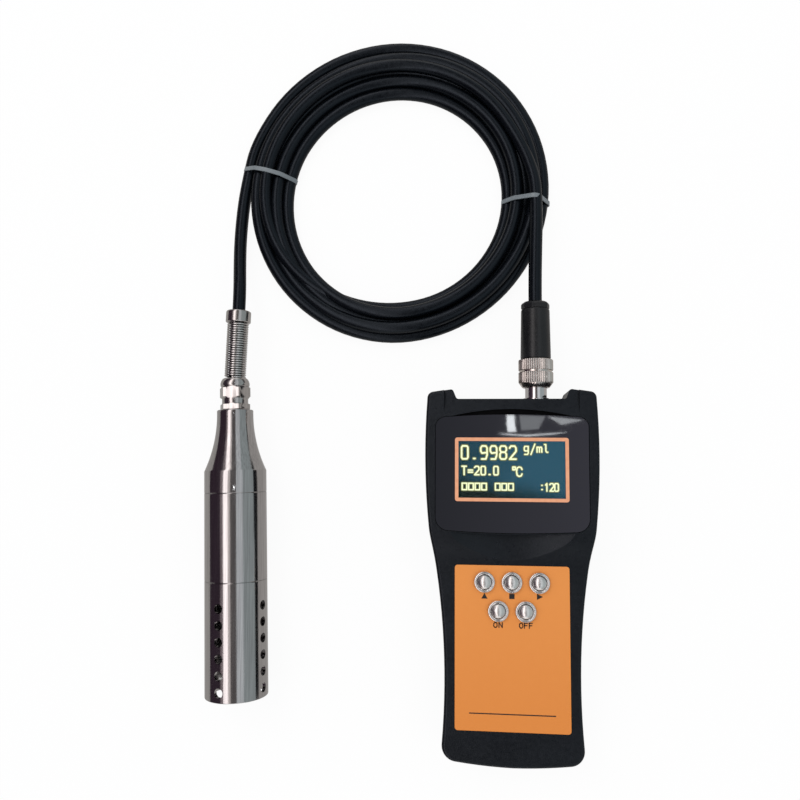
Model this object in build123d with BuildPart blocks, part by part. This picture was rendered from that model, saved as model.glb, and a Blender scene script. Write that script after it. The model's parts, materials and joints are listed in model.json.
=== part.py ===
from build123d import *
import math
import os

# Handheld density meter: a keypad housing with a display, and a steel tuning-fork probe on a coiled lead.
# Everything lies face up on z = 0. The origin is the centre of the housing's flat back, +Y points to its plug.
# All lengths are millimetres and all angles degrees.

os.makedirs("parts", exist_ok=True)

# Clearances
FIT_GAP = 0.05
SLIDE_GAP = 0.25
THROUGH = 60.0

# Housing outline, half of it, from the notch round to the foot
NOTCH_FLOOR_Y = 94.5
NOTCH_HALF = 29.4
HORN_INNER_X = 31.6
HORN_TOP_Y = 100.0
HORN_OUTER_Y = 98.0
HORN_OUTER_X = 45.1
HEAD_HALF = 46.4
HEAD_WIDEST_Y = 67.0
SHOULDER_X = 44.05
SHOULDER_Y = 22.5
WAIST_HALF = 36.0
WAIST_Y = -52.0
FOOT_X = 38.1
FOOT_Y = -96.8
FOOT_BOW_X = 20.0
FOOT_BOW_Y = -99.0
FOOT_MIDDLE_Y = -100.0
FOOT_CORNER_R = 8.0
SHOULDER_R = 60.0
HORN_CORNER_R = 3.5
NOTCH_CORNER_R = 1.6

# Housing depths
WALL = 2.5
PARTING_Z = 11.0
HANDLE_FRONT_Z = 28.0
HEAD_FRONT_Z = 34.0
HANDLE_ROOF_Z = 25.5
HEAD_ROOF_Z = 31.0
REAR_EDGE_R = 2.0
FRONT_EDGE_R = 1.8
SLOPE_FOOT_Y = 2.0
SLOPE_TOP_Y = 25.0
SLOPE_PULL = 10.0
HEAD_ROOM_LOW_Y = 27.0
HEAD_ROOM_HIGH_Y = 83.0

# Tilted band between the horns
BAND_HALF = 36.2
BAND_START_Y = 86.2
BAND_TILT = 15.0

# Display lens with its printed frame and clear window
LENS_HALF = 40.65
LENS_TOP_Y = 85.8
LENS_BOTTOM_Y = 22.7
LENS_TOP_BOW = 1.8
LENS_BOTTOM_BOW = 1.5
LENS_TOP_R = 5.5
LENS_BOTTOM_R = 7.0
LENS_THICK = 1.5
LENS_BED_Z = 32.4
LENS_GAP = 0.35
SLOT_HALF = 33.5
SLOT_TOP_Y = 88.8
SLOT_END_Y = 84.6
SLOT_FLOOR_Z = 31.6
DISPLAY_Y = 56.3
WINDOW_LENGTH = 56.7
WINDOW_HEIGHT = 30.4
FRAME_LINE = 1.85
FRAME_R = 1.3
FRAME_THICK = 0.5
WINDOW_THICK = 1.0
BED_OPENING_MARGIN = 0.5

# Display module
GLASS_LENGTH = 60.5
GLASS_HEIGHT = 37.0
GLASS_THICK = 2.1
OLED_BOARD_LENGTH = 62.0
OLED_BOARD_HEIGHT = 40.0
BOARD_THICK = 1.6

# Scoop under the lens
SCOOP_FOOT_Y = 8.0
SCOOP_FOOT_Z = 28.9
SCOOP_R = 88.0
SCOOP_DIP = 4.5
SCOOP_LENGTH = 40.0
SCOOP_RIM = 0.8

# Keypad plate
PLATE_WIDTH = 60.8
PLATE_HEIGHT = 86.2
PLATE_TOP_Y = 5.0
PLATE_R = 1.6
PLATE_THICK = 0.75
PLATE_BED_Z = 27.4
PLATE_GAP = 0.15

# Push buttons
BUTTON_PITCH = 14.55
BUTTON_INSET = 8.7
BUTTON_ROW_STEP = 15.1
FLANGE_R = 5.9
FLANGE_EDGE = 0.7
FLANGE_HEIGHT = 2.0
FLANGE_SLOPE = 1.0
FLANGE_LIP = 0.45
FLANGE_DISH = 0.5
BARREL_R = 4.95
BARREL_BOTTOM_Z = 15.0
PLUNGER_R = 3.7
PLUNGER_LENGTH = 5.0
PLUNGER_DOME = 1.6
PLUNGER_TRAVEL = 0.8
PLUNGER_ROOM = 1.5
BUTTON_NUT_FLATS = 12.0
BUTTON_NUT_THICK = 2.5
BUTTON_BASE_R = 4.6
BUTTON_BASE_LENGTH = 6.5

# Case screws and their bosses
HEAD_SCREW_X = 38.5
HEAD_SCREW_Y = 85.0
MIDDLE_SCREW_X = 29.0
MIDDLE_SCREW_Y = -25.0
SCREW_BOSS_R = 4.4
SCREW_BORE_R = 3.1
SCREW_SEAT_Z = 5.0
SCREW_HEAD_R = 2.8
SCREW_HEAD_THICK = 2.2
SCREW_R = 1.45
SCREW_LENGTH = 15.0
SCREW_CLEARANCE = 0.2

# Main board under the display
BOARD_FRONT_Z = 19.6
BOARD_HALF = 39.0
BOARD_LOW_Y = 28.0
BOARD_HIGH_Y = 80.0
POST_X = 35.0
POST_LOW_Y = 32.0
POST_HIGH_Y = 76.0
POST_R = 3.0
BOARD_SCREW_R = 1.15
BOARD_SCREW_LENGTH = 6.0
BOARD_SCREW_HEAD_R = 2.2
BOARD_SCREW_HEAD_THICK = 1.5
CHIP_SIDE = 12.0
CHIP_THICK = 1.4
BUZZER_R = 6.0
BUZZER_HEIGHT = 5.0
HEADER_LENGTH = 16.0
HEADER_WIDTH = 5.0
HEADER_HEIGHT = 4.0
CAPACITOR_R = 3.2
CAPACITOR_HEIGHT = 6.0
CHIP_X = -12.0
BUZZER_X = 20.0
HEADER_Y = 36.0
PARTS_Y = 56.0
CAPACITOR_Y = 70.0

# Battery bay, cells and door
CELL_R = 7.1
CELL_LENGTH = 50.5
CELL_COUNT = 4
CELL_PITCH = 14.7
CELL_NUB_R = 2.6
CELL_NUB = 0.8
CONTACT_THICK = 0.5
CONTACT_SIDE = 11.0
SPRING_SEAT = 4.0
SPRING_BIG_R = 4.0
SPRING_SMALL_R = 2.6
BAY_TOP_Y = -37.0
BAY_WALL = 1.5
BAY_SPARE = 0.4
DOOR_TOP_Y = -34.5
DOOR_THICK = 2.0
DOOR_HALF_BACK = 30.8
DOOR_HALF_INSIDE = 31.6
DOOR_GRIP_Y = -46.0
DOOR_GRIP_PITCH = 3.0
DOOR_GRIP_LENGTH = 22.0
DOOR_GRIP_WIDTH = 1.2
DOOR_GRIP_DEPTH = 0.6

# Socket in the top wall and the plug on it, along one axis
PLUG_X = 14.4
PLUG_Z = 18.5
GASKET_THICK = 0.5
GASKET_R = 7.2
SOCKET_FLANGE_R = 7.0
SOCKET_FLANGE = 0.8
SOCKET_R = 5.95
SOCKET_BORE_R = 4.8
SOCKET_IN = 10.5
SOCKET_OUT = 12.5
SOCKET_NUT_FLATS = 13.8
SOCKET_NUT_THICK = 3.0
SOCKET_FLOOR = 9.0
PIN_R = 0.5
PIN_CIRCLE_R = 2.5
PIN_COUNT = 4
PIN_LENGTH = 6.0
PLUG_INSERT_R = 4.55
PLUG_INSERT_GAP = 0.5
COUPLING_START = 7.3
COUPLING_CHAMFER_R = 7.6
COUPLING_CHAMFER = 2.4
COUPLING_R = 9.6
COUPLING_BAND = 6.2
COUPLING_GROOVE = 0.9
COUPLING_GROOVE_DEPTH = 0.7
KNURL_COUNT = 42
KNURL_SIZE = 0.65
NECK_R = 6.5
NECK_START = 17.0
PLUG_BODY_LENGTH = 28.4
PLUG_BODY_BIG_R = 8.4
PLUG_BODY_SMALL_R = 7.9
PLUG_EDGE = 0.5
CLAMP_LENGTH = 4.5
CLAMP_R = 8.2
CLAMP_FLATS = 15.2
CLAMP_TOP_R = 6.0
CLAMP_DOME = 1.2

# Probe, from its top seam towards the lead. Stations are measured along the probe's own axis.
PROBE_X = -156.4
PROBE_Y = 42.1
PROBE_R = 17.5
PROBE_TURN = 1.9
TUBE_WALL = 2.0
HEAD_TOP = 47.2
HEAD_TOP_R = 10.3
HEAD_TOP_STRAIGHT = 2.2
HEAD_SHOULDER = 12.2
HEAD_TOP_CHAMFER = 0.5
SEAM_CHAMFER = 0.25
HEAD_CAVITY_R = 8.0
HEAD_CAVITY_TOP = 39.0
GLAND_THREAD_R = 6.0
SPIGOT_LENGTH = 9.0
SPIGOT_GAP = 0.1
TUBE_END = -49.1
GUARD_END = -112.8
GUARD_HOLE_R = 2.6
GUARD_HOLE_COUNT = 6
GUARD_HOLE_FIRST = -62.7
GUARD_HOLE_PITCH = 8.94
GUARD_HOLE_TURN = -16.0
GUARD_COLUMNS = 4
FORK_BASE_TOP = -40.0
FORK_BASE_BOTTOM = -56.0
TINE_END = -104.0
TINE_GAP = 9.0
TINE_THICK = 3.6
TINE_WIDTH = 14.0
TINE_ROOT = 6.0
TINE_TIP_R = 4.0
PIEZO_R = 3.0
PIEZO_LENGTH = 9.0
PIEZO_X = 6.4
ORING_WIDTH = 2.0
ORING_DEPTH = 1.4
SPIGOT_ORING = -5.0
BASE_ORING = -45.0
PROBE_BOARD_WIDTH = 24.0

# Cable gland, bend relief and its cap
GLAND_HEX_FLATS = 15.4
GLAND_HEX_START = 47.2
GLAND_HEX_END = 51.0
GLAND_NECK_R = 7.45
GLAND_NECK_END = 53.9
GLAND_NUT_FLATS = 15.8
GLAND_NUT_END = 60.9
GLAND_DOME_END = 65.9
GLAND_DOME_R = 6.6
GLAND_DOME_BULGE = 7.9
GLAND_CORNER_R = 8.7
GLAND_SLEEVE_R = 6.3
GLAND_SLEEVE_END = 60.0
GLAND_SEAT_R = 5.6
GLAND_SEAT_START = 54.5
RELIEF_TURN = -1.7
RELIEF_R = 6.2
RELIEF_WIRE = 1.1
RELIEF_LENGTH = 33.2
RELIEF_COILS = 24
RELIEF_SEAT = -0.35
CAP_R = 7.2
CAP_LENGTH = 6.9
CAP_ROUND = 2.2

# Lead
CABLE_D = 7.5
CABLE_LENGTH_IN_GLAND = 8.0
COIL_X = -68.5
COIL_Y = 222.9
COIL_R = 92.7
COIL_HOLE_X = -66.2
COIL_HOLE_Y = 217.3
COIL_HOLE_R = 62.6
COIL_HEIGHT = 14.0
COIL_ROUND = 3.6
TIE_WIDTH = 2.7
TIE_THICK = 1.2
TIE_SPAN = 60.0
TIE_LEFT = (-144.1, 234.6, -15.0)
TIE_RIGHT = (9.5, 213.0, -3.0)
CORD_FLOOR_Z = CABLE_D / 2
RADIUS_SHARE = 0.45
TAIL_STRAIGHT = 11.0

# Places worked out from the sizes above
LENS_TOP_Z = LENS_BED_Z + LENS_THICK
PLATE_Y = PLATE_TOP_Y - PLATE_HEIGHT / 2
BUTTON_TOP_Y = PLATE_TOP_Y - BUTTON_INSET
PLATE_TOP_Z = PLATE_BED_Z + PLATE_THICK
BOARD_BACK_Z = BOARD_FRONT_Z - BOARD_THICK
OLED_BACK_Z = HEAD_ROOF_Z - GLASS_THICK
CABLE_R = CABLE_D / 2
PROBE_BORE_R = PROBE_R - TUBE_WALL
CELL_Z = DOOR_THICK + BAY_SPARE + CELL_R
BAY_HALF = CELL_PITCH * (CELL_COUNT - 1) / 2 + CELL_R + BAY_SPARE
BAY_ROOF_Z = CELL_Z + CELL_R + BAY_SPARE
CELL_TOP_Y = BAY_TOP_Y - CONTACT_THICK - FIT_GAP
CELL_END_Y = CELL_TOP_Y - CELL_LENGTH
BAY_END_Y = CELL_END_Y - SPRING_SEAT - CONTACT_THICK - FIT_GAP
BAY_FLOOR_Z = DOOR_THICK + SLIDE_GAP
SOCKET_Y = NOTCH_FLOOR_Y + GASKET_THICK
TUBE_OUT_Y = SOCKET_Y + SOCKET_OUT
SOCKET_FLOOR_Y = SOCKET_Y - SOCKET_IN + SOCKET_FLOOR
COUPLING_Y = NOTCH_FLOOR_Y + COUPLING_START
COUPLING_END_Y = COUPLING_Y + COUPLING_CHAMFER + 2 * COUPLING_BAND + COUPLING_GROOVE
NECK_Y = NOTCH_FLOOR_Y + NECK_START
PLUG_BODY_Y = COUPLING_END_Y + SLIDE_GAP
CLAMP_Y = PLUG_BODY_Y + PLUG_BODY_LENGTH
CLAMP_END_Y = CLAMP_Y + CLAMP_LENGTH
BUTTONS = {
    "button_up": (-BUTTON_PITCH, BUTTON_TOP_Y),
    "button_set": (0.0, BUTTON_TOP_Y),
    "button_right": (BUTTON_PITCH, BUTTON_TOP_Y),
    "button_on": (-BUTTON_PITCH / 2, BUTTON_TOP_Y - BUTTON_ROW_STEP),
    "button_off": (BUTTON_PITCH / 2, BUTTON_TOP_Y - BUTTON_ROW_STEP),
}
CASE_SCREWS = [
    (side * x, y) for x, y in ((HEAD_SCREW_X, HEAD_SCREW_Y), (MIDDLE_SCREW_X, MIDDLE_SCREW_Y)) for side in (-1, 1)
]
POSTS = [(side * POST_X, y) for y in (POST_LOW_Y, POST_HIGH_Y) for side in (-1, 1)]


# Working planes: the probe, its bend relief and the plug each have one through their axis, local Y along it

def turned_plane(x, y, z, turn):
    """A level plane whose local Y is +Y turned by an angle about +Z."""
    angle = math.radians(turn)
    return Plane(origin=(x, y, z), x_dir=(math.cos(angle), math.sin(angle), 0), z_dir=(0, 0, 1))


def axis_of(plane):
    """The axis that a turned piece on this plane is revolved about."""
    return Axis(plane.origin, plane.y_dir)


def cross_plane(plane, station):
    """A plane square to the axis at a station, its normal along the axis."""
    return Plane(origin=plane.from_local_coords((0, station, 0)), x_dir=plane.x_dir, z_dir=plane.y_dir)


PROBE = turned_plane(PROBE_X, PROBE_Y, PROBE_R, PROBE_TURN)
RELIEF_FOOT = PROBE.from_local_coords((0, GLAND_DOME_END, 0))
RELIEF = turned_plane(RELIEF_FOOT.X, RELIEF_FOOT.Y, RELIEF_FOOT.Z, RELIEF_TURN)
RELIEF_END = RELIEF_SEAT + RELIEF_LENGTH
CAP_END = RELIEF_END + CAP_LENGTH
PLUG = turned_plane(PLUG_X, 0, PLUG_Z, 0)


def half_profile(plane, points):
    """A closed half section from (radius, station) corners on a plane through the axis."""
    with BuildSketch(plane) as section:
        with BuildLine():
            Polyline(*points, close=True)
        make_face()
    return section.sketch


def hexagon_bar(plane, flats, start, end):
    """A six-sided bar about a plane's axis between two stations."""
    with BuildPart() as bar:
        with BuildSketch(cross_plane(plane, start)):
            RegularPolygon(flats / 2, 6, major_radius=False)
        extrude(amount=end - start)
    return bar.part


def save(part, name):
    """Label a finished piece and write it to its own file."""
    part.label = name
    export_step(part, f"parts/{name}.step")


# Housing

def housing_outline(inset=0.0):
    """The housing seen from the front, or its inner line when inset."""
    with BuildSketch() as outline:
        with BuildLine():
            floor = Line((0, NOTCH_FLOOR_Y), (NOTCH_HALF, NOTCH_FLOOR_Y))
            flank = Line(floor @ 1, (HORN_INNER_X, HORN_TOP_Y))
            top = Line(flank @ 1, (HORN_OUTER_X, HORN_OUTER_Y))
            head = ThreePointArc(top @ 1, (HEAD_HALF, HEAD_WIDEST_Y), (SHOULDER_X, SHOULDER_Y))
            waist = ThreePointArc(head @ 1, (WAIST_HALF, WAIST_Y), (FOOT_X, FOOT_Y))
            foot = ThreePointArc(waist @ 1, (FOOT_BOW_X, FOOT_BOW_Y), (0, FOOT_MIDDLE_Y))
            Line(foot @ 1, floor @ 0)
        make_face()
        corners = (
            (FOOT_X, FOOT_Y, FOOT_CORNER_R),
            (SHOULDER_X, SHOULDER_Y, SHOULDER_R),
            (HORN_OUTER_X, HORN_OUTER_Y, HORN_CORNER_R),
            (HORN_INNER_X, HORN_TOP_Y, NOTCH_CORNER_R),
            (NOTCH_HALF, NOTCH_FLOOR_Y, NOTCH_CORNER_R),
        )
        for x, y, radius in corners:
            fillet(outline.vertices().sort_by_distance((x, y))[0], radius)
        mirror(about=Plane.YZ)
        if inset:
            offset(amount=-inset, kind=Kind.INTERSECTION)
    return outline.sketch


OUTLINE = housing_outline()
INNER_LINE = housing_outline(WALL)


def rear_blank():
    """The solid back half of the housing with its rounded rear edge."""
    with BuildPart() as blank:
        with BuildSketch():
            add(OUTLINE)
        extrude(amount=PARTING_Z)
        fillet(blank.faces().sort_by(Axis.Z)[0].outer_wire().edges(), REAR_EDGE_R)
    return blank.part


def front_blank():
    """The solid front half: high head, low handle and the slope between, with a rounded front edge."""
    with BuildPart() as blank:
        with BuildSketch(Plane.XY.offset(PARTING_Z)):
            add(OUTLINE)
        extrude(amount=HEAD_FRONT_Z - PARTING_Z)
        with BuildSketch(Plane.YZ):
            with BuildLine():
                handle = Line((2 * FOOT_MIDDLE_Y, HANDLE_FRONT_Z), (SLOPE_FOOT_Y, HANDLE_FRONT_Z))
                slope = Bezier(
                    handle @ 1,
                    (SLOPE_FOOT_Y + SLOPE_PULL, HANDLE_FRONT_Z),
                    (SLOPE_TOP_Y - SLOPE_PULL, HEAD_FRONT_Z),
                    (SLOPE_TOP_Y, HEAD_FRONT_Z),
                )
                Polyline(
                    slope @ 1,
                    (SLOPE_TOP_Y, HEAD_FRONT_Z + WALL),
                    (2 * FOOT_MIDDLE_Y, HEAD_FRONT_Z + WALL),
                    handle @ 0,
                )
            make_face()
        extrude(amount=THROUGH, both=True, mode=Mode.SUBTRACT)
        front = blank.faces().filter_by(lambda face: face.normal_at().Z > 0.5)
        border = [edge for face in front for edge in face.edges() if abs(edge.center().X) > FIT_GAP]
        crown = [edge for face in front for edge in face.edges().filter_by(Axis.X).sort_by(Axis.Y)[-1:]]
        notch = [edge for edge in crown if edge.center().Y > HEAD_ROOM_HIGH_Y]
        foot = [edge for face in front for edge in face.edges() if edge.center().Y < WAIST_Y * 1.5]
        fillet(ShapeList(set(border + notch + foot)), FRONT_EDGE_R)
    return blank.part


def lens_outline(grow=0.0):
    """The display lens seen from the front, or its bed when grown."""
    with BuildSketch() as lens:
        with BuildLine():
            bottom = ThreePointArc(
                (-LENS_HALF, LENS_BOTTOM_Y + LENS_BOTTOM_BOW),
                (0, LENS_BOTTOM_Y),
                (LENS_HALF, LENS_BOTTOM_Y + LENS_BOTTOM_BOW),
            )
            right = Line(bottom @ 1, (LENS_HALF, LENS_TOP_Y - LENS_TOP_BOW))
            top = ThreePointArc(right @ 1, (0, LENS_TOP_Y), (-LENS_HALF, LENS_TOP_Y - LENS_TOP_BOW))
            Line(top @ 1, bottom @ 0)
        make_face()
        fillet(lens.vertices().group_by(Axis.Y)[-1], LENS_TOP_R)
        fillet(lens.vertices().group_by(Axis.Y)[0], LENS_BOTTOM_R)
        if grow:
            offset(amount=grow, kind=Kind.INTERSECTION)
    return lens.sketch


def scoop_cutter():
    """The round bar that scoops out the slope, kept clear of the lens bed."""
    dip = math.radians(SCOOP_DIP)
    start = Plane(
        origin=(0, SCOOP_FOOT_Y, SCOOP_FOOT_Z + SCOOP_R),
        x_dir=(1, 0, 0),
        z_dir=(0, math.cos(dip), -math.sin(dip)),
    )
    with BuildPart() as cutter:
        with BuildSketch(start):
            Circle(SCOOP_R)
        extrude(amount=SCOOP_LENGTH, both=True)
        with BuildSketch():
            with Locations((0, DISPLAY_Y + SCOOP_RIM)):
                Rectangle(2 * THROUGH, 2 * (DISPLAY_Y - SLOPE_TOP_Y))
            add(lens_outline(SCOOP_RIM))
        extrude(amount=2 * SCOOP_R, mode=Mode.SUBTRACT)
    return cutter.part


with BuildPart() as rear_shell:
    add(rear_blank())
    # Hollow above the door, and a raised floor where the battery bay stands
    with BuildSketch(Plane.XY.offset(WALL)):
        add(INNER_LINE)
        with Locations((0, DOOR_TOP_Y + FOOT_MIDDLE_Y)):
            Rectangle(2 * THROUGH, -2 * FOOT_MIDDLE_Y + 2 * BAY_WALL, mode=Mode.SUBTRACT)
    extrude(amount=PARTING_Z, mode=Mode.SUBTRACT)
    with BuildSketch(Plane.XY.offset(BAY_FLOOR_Z + BAY_WALL)):
        add(INNER_LINE)
    extrude(amount=PARTING_Z, mode=Mode.SUBTRACT)
    # Battery bay: an upturned tray that opens to the back
    with BuildSketch(Plane.XY.offset(BAY_FLOOR_Z)):
        with Locations((0, (BAY_TOP_Y + BAY_END_Y) / 2)):
            Rectangle(2 * (BAY_HALF + BAY_WALL), BAY_TOP_Y - BAY_END_Y + 2 * BAY_WALL)
    extrude(amount=BAY_ROOF_Z + BAY_WALL - BAY_FLOOR_Z)
    with BuildSketch(Plane.XY):
        with Locations((0, (BAY_TOP_Y + BAY_END_Y) / 2)):
            Rectangle(2 * BAY_HALF, BAY_TOP_Y - BAY_END_Y)
    extrude(amount=BAY_ROOF_Z, mode=Mode.SUBTRACT)
    # Dovetail bed of the door, open at the foot
    with BuildSketch(Plane.XZ.offset(-DOOR_TOP_Y)):
        with BuildLine():
            Polyline(
                (-DOOR_HALF_BACK - SLIDE_GAP, 0),
                (DOOR_HALF_BACK + SLIDE_GAP, 0),
                (DOOR_HALF_INSIDE + SLIDE_GAP, BAY_FLOOR_Z),
                (-DOOR_HALF_INSIDE - SLIDE_GAP, BAY_FLOOR_Z),
                close=True,
            )
        make_face()
    extrude(amount=-2 * FOOT_MIDDLE_Y, mode=Mode.SUBTRACT)
    # Screw bosses with deep seats in the back
    with BuildSketch():
        with Locations(*CASE_SCREWS):
            Circle(SCREW_BOSS_R)
    extrude(amount=PARTING_Z)
    with BuildSketch():
        with Locations(*CASE_SCREWS):
            Circle(SCREW_BORE_R)
    extrude(amount=SCREW_SEAT_Z, mode=Mode.SUBTRACT)
    with BuildSketch():
        with Locations(*CASE_SCREWS):
            Circle(SCREW_R + SCREW_CLEARANCE)
    extrude(amount=PARTING_Z, mode=Mode.SUBTRACT)
save(rear_shell.part, "rear_shell")


with BuildPart() as battery_door:
    with BuildSketch(Plane.XZ.offset(-DOOR_TOP_Y + SLIDE_GAP)):
        with BuildLine():
            Polyline(
                (-DOOR_HALF_BACK, 0),
                (DOOR_HALF_BACK, 0),
                (DOOR_HALF_INSIDE, DOOR_THICK),
                (-DOOR_HALF_INSIDE, DOOR_THICK),
                close=True,
            )
        make_face()
    extrude(amount=-2 * FOOT_MIDDLE_Y)
    add(rear_blank(), mode=Mode.INTERSECT)
    # Thumb grip: three shallow grooves
    with BuildSketch():
        with GridLocations(0, DOOR_GRIP_PITCH, 1, 3):
            with Locations((0, DOOR_GRIP_Y)):
                SlotOverall(DOOR_GRIP_LENGTH, DOOR_GRIP_WIDTH)
    extrude(amount=DOOR_GRIP_DEPTH, mode=Mode.SUBTRACT)
save(battery_door.part, "battery_door")


with BuildPart() as front_shell:
    add(front_blank())
    # Hollow, with a higher room under the lens
    with BuildSketch(Plane.XY.offset(PARTING_Z)):
        add(INNER_LINE)
    extrude(amount=HANDLE_ROOF_Z - PARTING_Z, mode=Mode.SUBTRACT)
    with BuildSketch(Plane.XY.offset(PARTING_Z)):
        add(INNER_LINE)
        with Locations((0, (HEAD_ROOM_LOW_Y + HEAD_ROOM_HIGH_Y) / 2)):
            Rectangle(2 * THROUGH, HEAD_ROOM_HIGH_Y - HEAD_ROOM_LOW_Y, mode=Mode.INTERSECT)
    extrude(amount=HEAD_ROOF_Z - PARTING_Z, mode=Mode.SUBTRACT)
    # Tilted band between the horns
    with BuildSketch(Plane.YZ):
        with BuildLine():
            drop = (2 * HORN_TOP_Y - BAND_START_Y) * math.tan(math.radians(BAND_TILT))
            Polyline(
                (BAND_START_Y, HEAD_FRONT_Z),
                (2 * HORN_TOP_Y, HEAD_FRONT_Z),
                (2 * HORN_TOP_Y, HEAD_FRONT_Z - drop),
                close=True,
            )
        make_face()
    extrude(amount=BAND_HALF, both=True, mode=Mode.SUBTRACT)
    # Crescent slot above the lens
    with BuildSketch(Plane.XY.offset(SLOT_FLOOR_Z)):
        with BuildLine():
            arch = ThreePointArc((-SLOT_HALF, SLOT_END_Y), (0, SLOT_TOP_Y), (SLOT_HALF, SLOT_END_Y))
            Line(arch @ 1, arch @ 0)
        make_face()
        add(lens_outline(LENS_GAP), mode=Mode.SUBTRACT)
    extrude(amount=HEAD_FRONT_Z, mode=Mode.SUBTRACT)
    # Lens bed and the display opening in it
    with BuildSketch(Plane.XY.offset(LENS_BED_Z)):
        add(lens_outline(LENS_GAP))
    extrude(amount=HEAD_FRONT_Z, mode=Mode.SUBTRACT)
    with BuildSketch(Plane.XY.offset(PARTING_Z)):
        with Locations((0, DISPLAY_Y)):
            Rectangle(WINDOW_LENGTH + BED_OPENING_MARGIN, WINDOW_HEIGHT + BED_OPENING_MARGIN)
    extrude(amount=HEAD_FRONT_Z, mode=Mode.SUBTRACT)
    add(scoop_cutter(), mode=Mode.SUBTRACT)
    # Keypad bed and the button holes
    with BuildSketch(Plane.XY.offset(PLATE_BED_Z)):
        with Locations((0, PLATE_Y)):
            RectangleRounded(PLATE_WIDTH + 2 * PLATE_GAP, PLATE_HEIGHT + 2 * PLATE_GAP, PLATE_R + PLATE_GAP)
    extrude(amount=HEAD_FRONT_Z, mode=Mode.SUBTRACT)
    with BuildSketch(Plane.XY.offset(PARTING_Z)):
        with Locations(*BUTTONS.values()):
            Circle(BARREL_R + FIT_GAP)
    extrude(amount=HEAD_FRONT_Z, mode=Mode.SUBTRACT)
    # Socket hole in the top wall
    with BuildSketch(cross_plane(PLUG, NOTCH_FLOOR_Y - 2 * WALL)):
        Circle(SOCKET_R + FIT_GAP)
    extrude(amount=3 * WALL, mode=Mode.SUBTRACT)
    # Screw bosses and board posts hang from the roof
    with BuildSketch(Plane.XY.offset(PARTING_Z)):
        with Locations(*CASE_SCREWS):
            Circle(SCREW_BOSS_R)
    extrude(amount=HANDLE_ROOF_Z + FIT_GAP - PARTING_Z)
    with BuildSketch(Plane.XY.offset(BOARD_FRONT_Z)):
        with Locations(*POSTS):
            Circle(POST_R)
    extrude(amount=HEAD_ROOF_Z + FIT_GAP - BOARD_FRONT_Z)
    with BuildSketch(Plane.XY.offset(PARTING_Z)):
        with Locations(*CASE_SCREWS):
            Circle(SCREW_R + FIT_GAP)
    extrude(amount=SCREW_SEAT_Z + SCREW_LENGTH - PARTING_Z, mode=Mode.SUBTRACT)
    with BuildSketch(Plane.XY.offset(BOARD_FRONT_Z)):
        with Locations(*POSTS):
            Circle(BOARD_SCREW_R + FIT_GAP)
    extrude(amount=BOARD_SCREW_LENGTH, mode=Mode.SUBTRACT)
save(front_shell.part, "front_shell")


with BuildPart() as case_screws:
    with BuildSketch(Plane.XY.offset(SCREW_SEAT_Z - SCREW_HEAD_THICK)):
        with Locations(*CASE_SCREWS):
            Circle(SCREW_HEAD_R)
    extrude(amount=SCREW_HEAD_THICK)
    with BuildSketch(Plane.XY.offset(SCREW_SEAT_Z)):
        with Locations(*CASE_SCREWS):
            Circle(SCREW_R)
    extrude(amount=SCREW_LENGTH)
save(case_screws.part, "case_screws")


# Display

with BuildPart() as display_lens:
    with BuildSketch(Plane.XY.offset(LENS_BED_Z)):
        add(lens_outline())
    extrude(amount=LENS_THICK)
    with BuildSketch(Plane.XY.offset(LENS_TOP_Z)):
        with Locations((0, DISPLAY_Y)):
            RectangleRounded(WINDOW_LENGTH + 2 * FRAME_LINE, WINDOW_HEIGHT + 2 * FRAME_LINE, FRAME_R)
    extrude(amount=-FRAME_THICK, mode=Mode.SUBTRACT)
    with BuildSketch(Plane.XY.offset(LENS_BED_Z)):
        with Locations((0, DISPLAY_Y)):
            Rectangle(WINDOW_LENGTH, WINDOW_HEIGHT)
    extrude(amount=LENS_THICK, mode=Mode.SUBTRACT)
save(display_lens.part, "display_lens")


with BuildPart() as display_border:
    with BuildSketch(Plane.XY.offset(LENS_TOP_Z - FRAME_THICK)):
        with Locations((0, DISPLAY_Y)):
            RectangleRounded(WINDOW_LENGTH + 2 * FRAME_LINE, WINDOW_HEIGHT + 2 * FRAME_LINE, FRAME_R)
            Rectangle(WINDOW_LENGTH, WINDOW_HEIGHT, mode=Mode.SUBTRACT)
    extrude(amount=FRAME_THICK)
save(display_border.part, "display_border")


with BuildPart() as display_window:
    with BuildSketch(Plane.XY.offset(LENS_TOP_Z - WINDOW_THICK)):
        with Locations((0, DISPLAY_Y)):
            Rectangle(WINDOW_LENGTH, WINDOW_HEIGHT)
    extrude(amount=WINDOW_THICK)
save(display_window.part, "display_window")


with BuildPart() as oled_glass:
    with BuildSketch(Plane.XY.offset(OLED_BACK_Z)):
        with Locations((0, DISPLAY_Y)):
            Rectangle(GLASS_LENGTH, GLASS_HEIGHT)
    extrude(amount=GLASS_THICK)
save(oled_glass.part, "oled_glass")


with BuildPart() as oled_board:
    with BuildSketch(Plane.XY.offset(OLED_BACK_Z - BOARD_THICK)):
        with Locations((0, DISPLAY_Y)):
            Rectangle(OLED_BOARD_LENGTH, OLED_BOARD_HEIGHT)
    extrude(amount=BOARD_THICK)
    # Header pins' block that reaches down to the main board
    with BuildSketch(Plane.XY.offset(BOARD_FRONT_Z)):
        with Locations((0, DISPLAY_Y + OLED_BOARD_HEIGHT / 2 - HEADER_WIDTH)):
            Rectangle(HEADER_LENGTH, HEADER_WIDTH)
    extrude(amount=OLED_BACK_Z - BOARD_THICK - BOARD_FRONT_Z)
save(oled_board.part, "oled_board")


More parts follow.
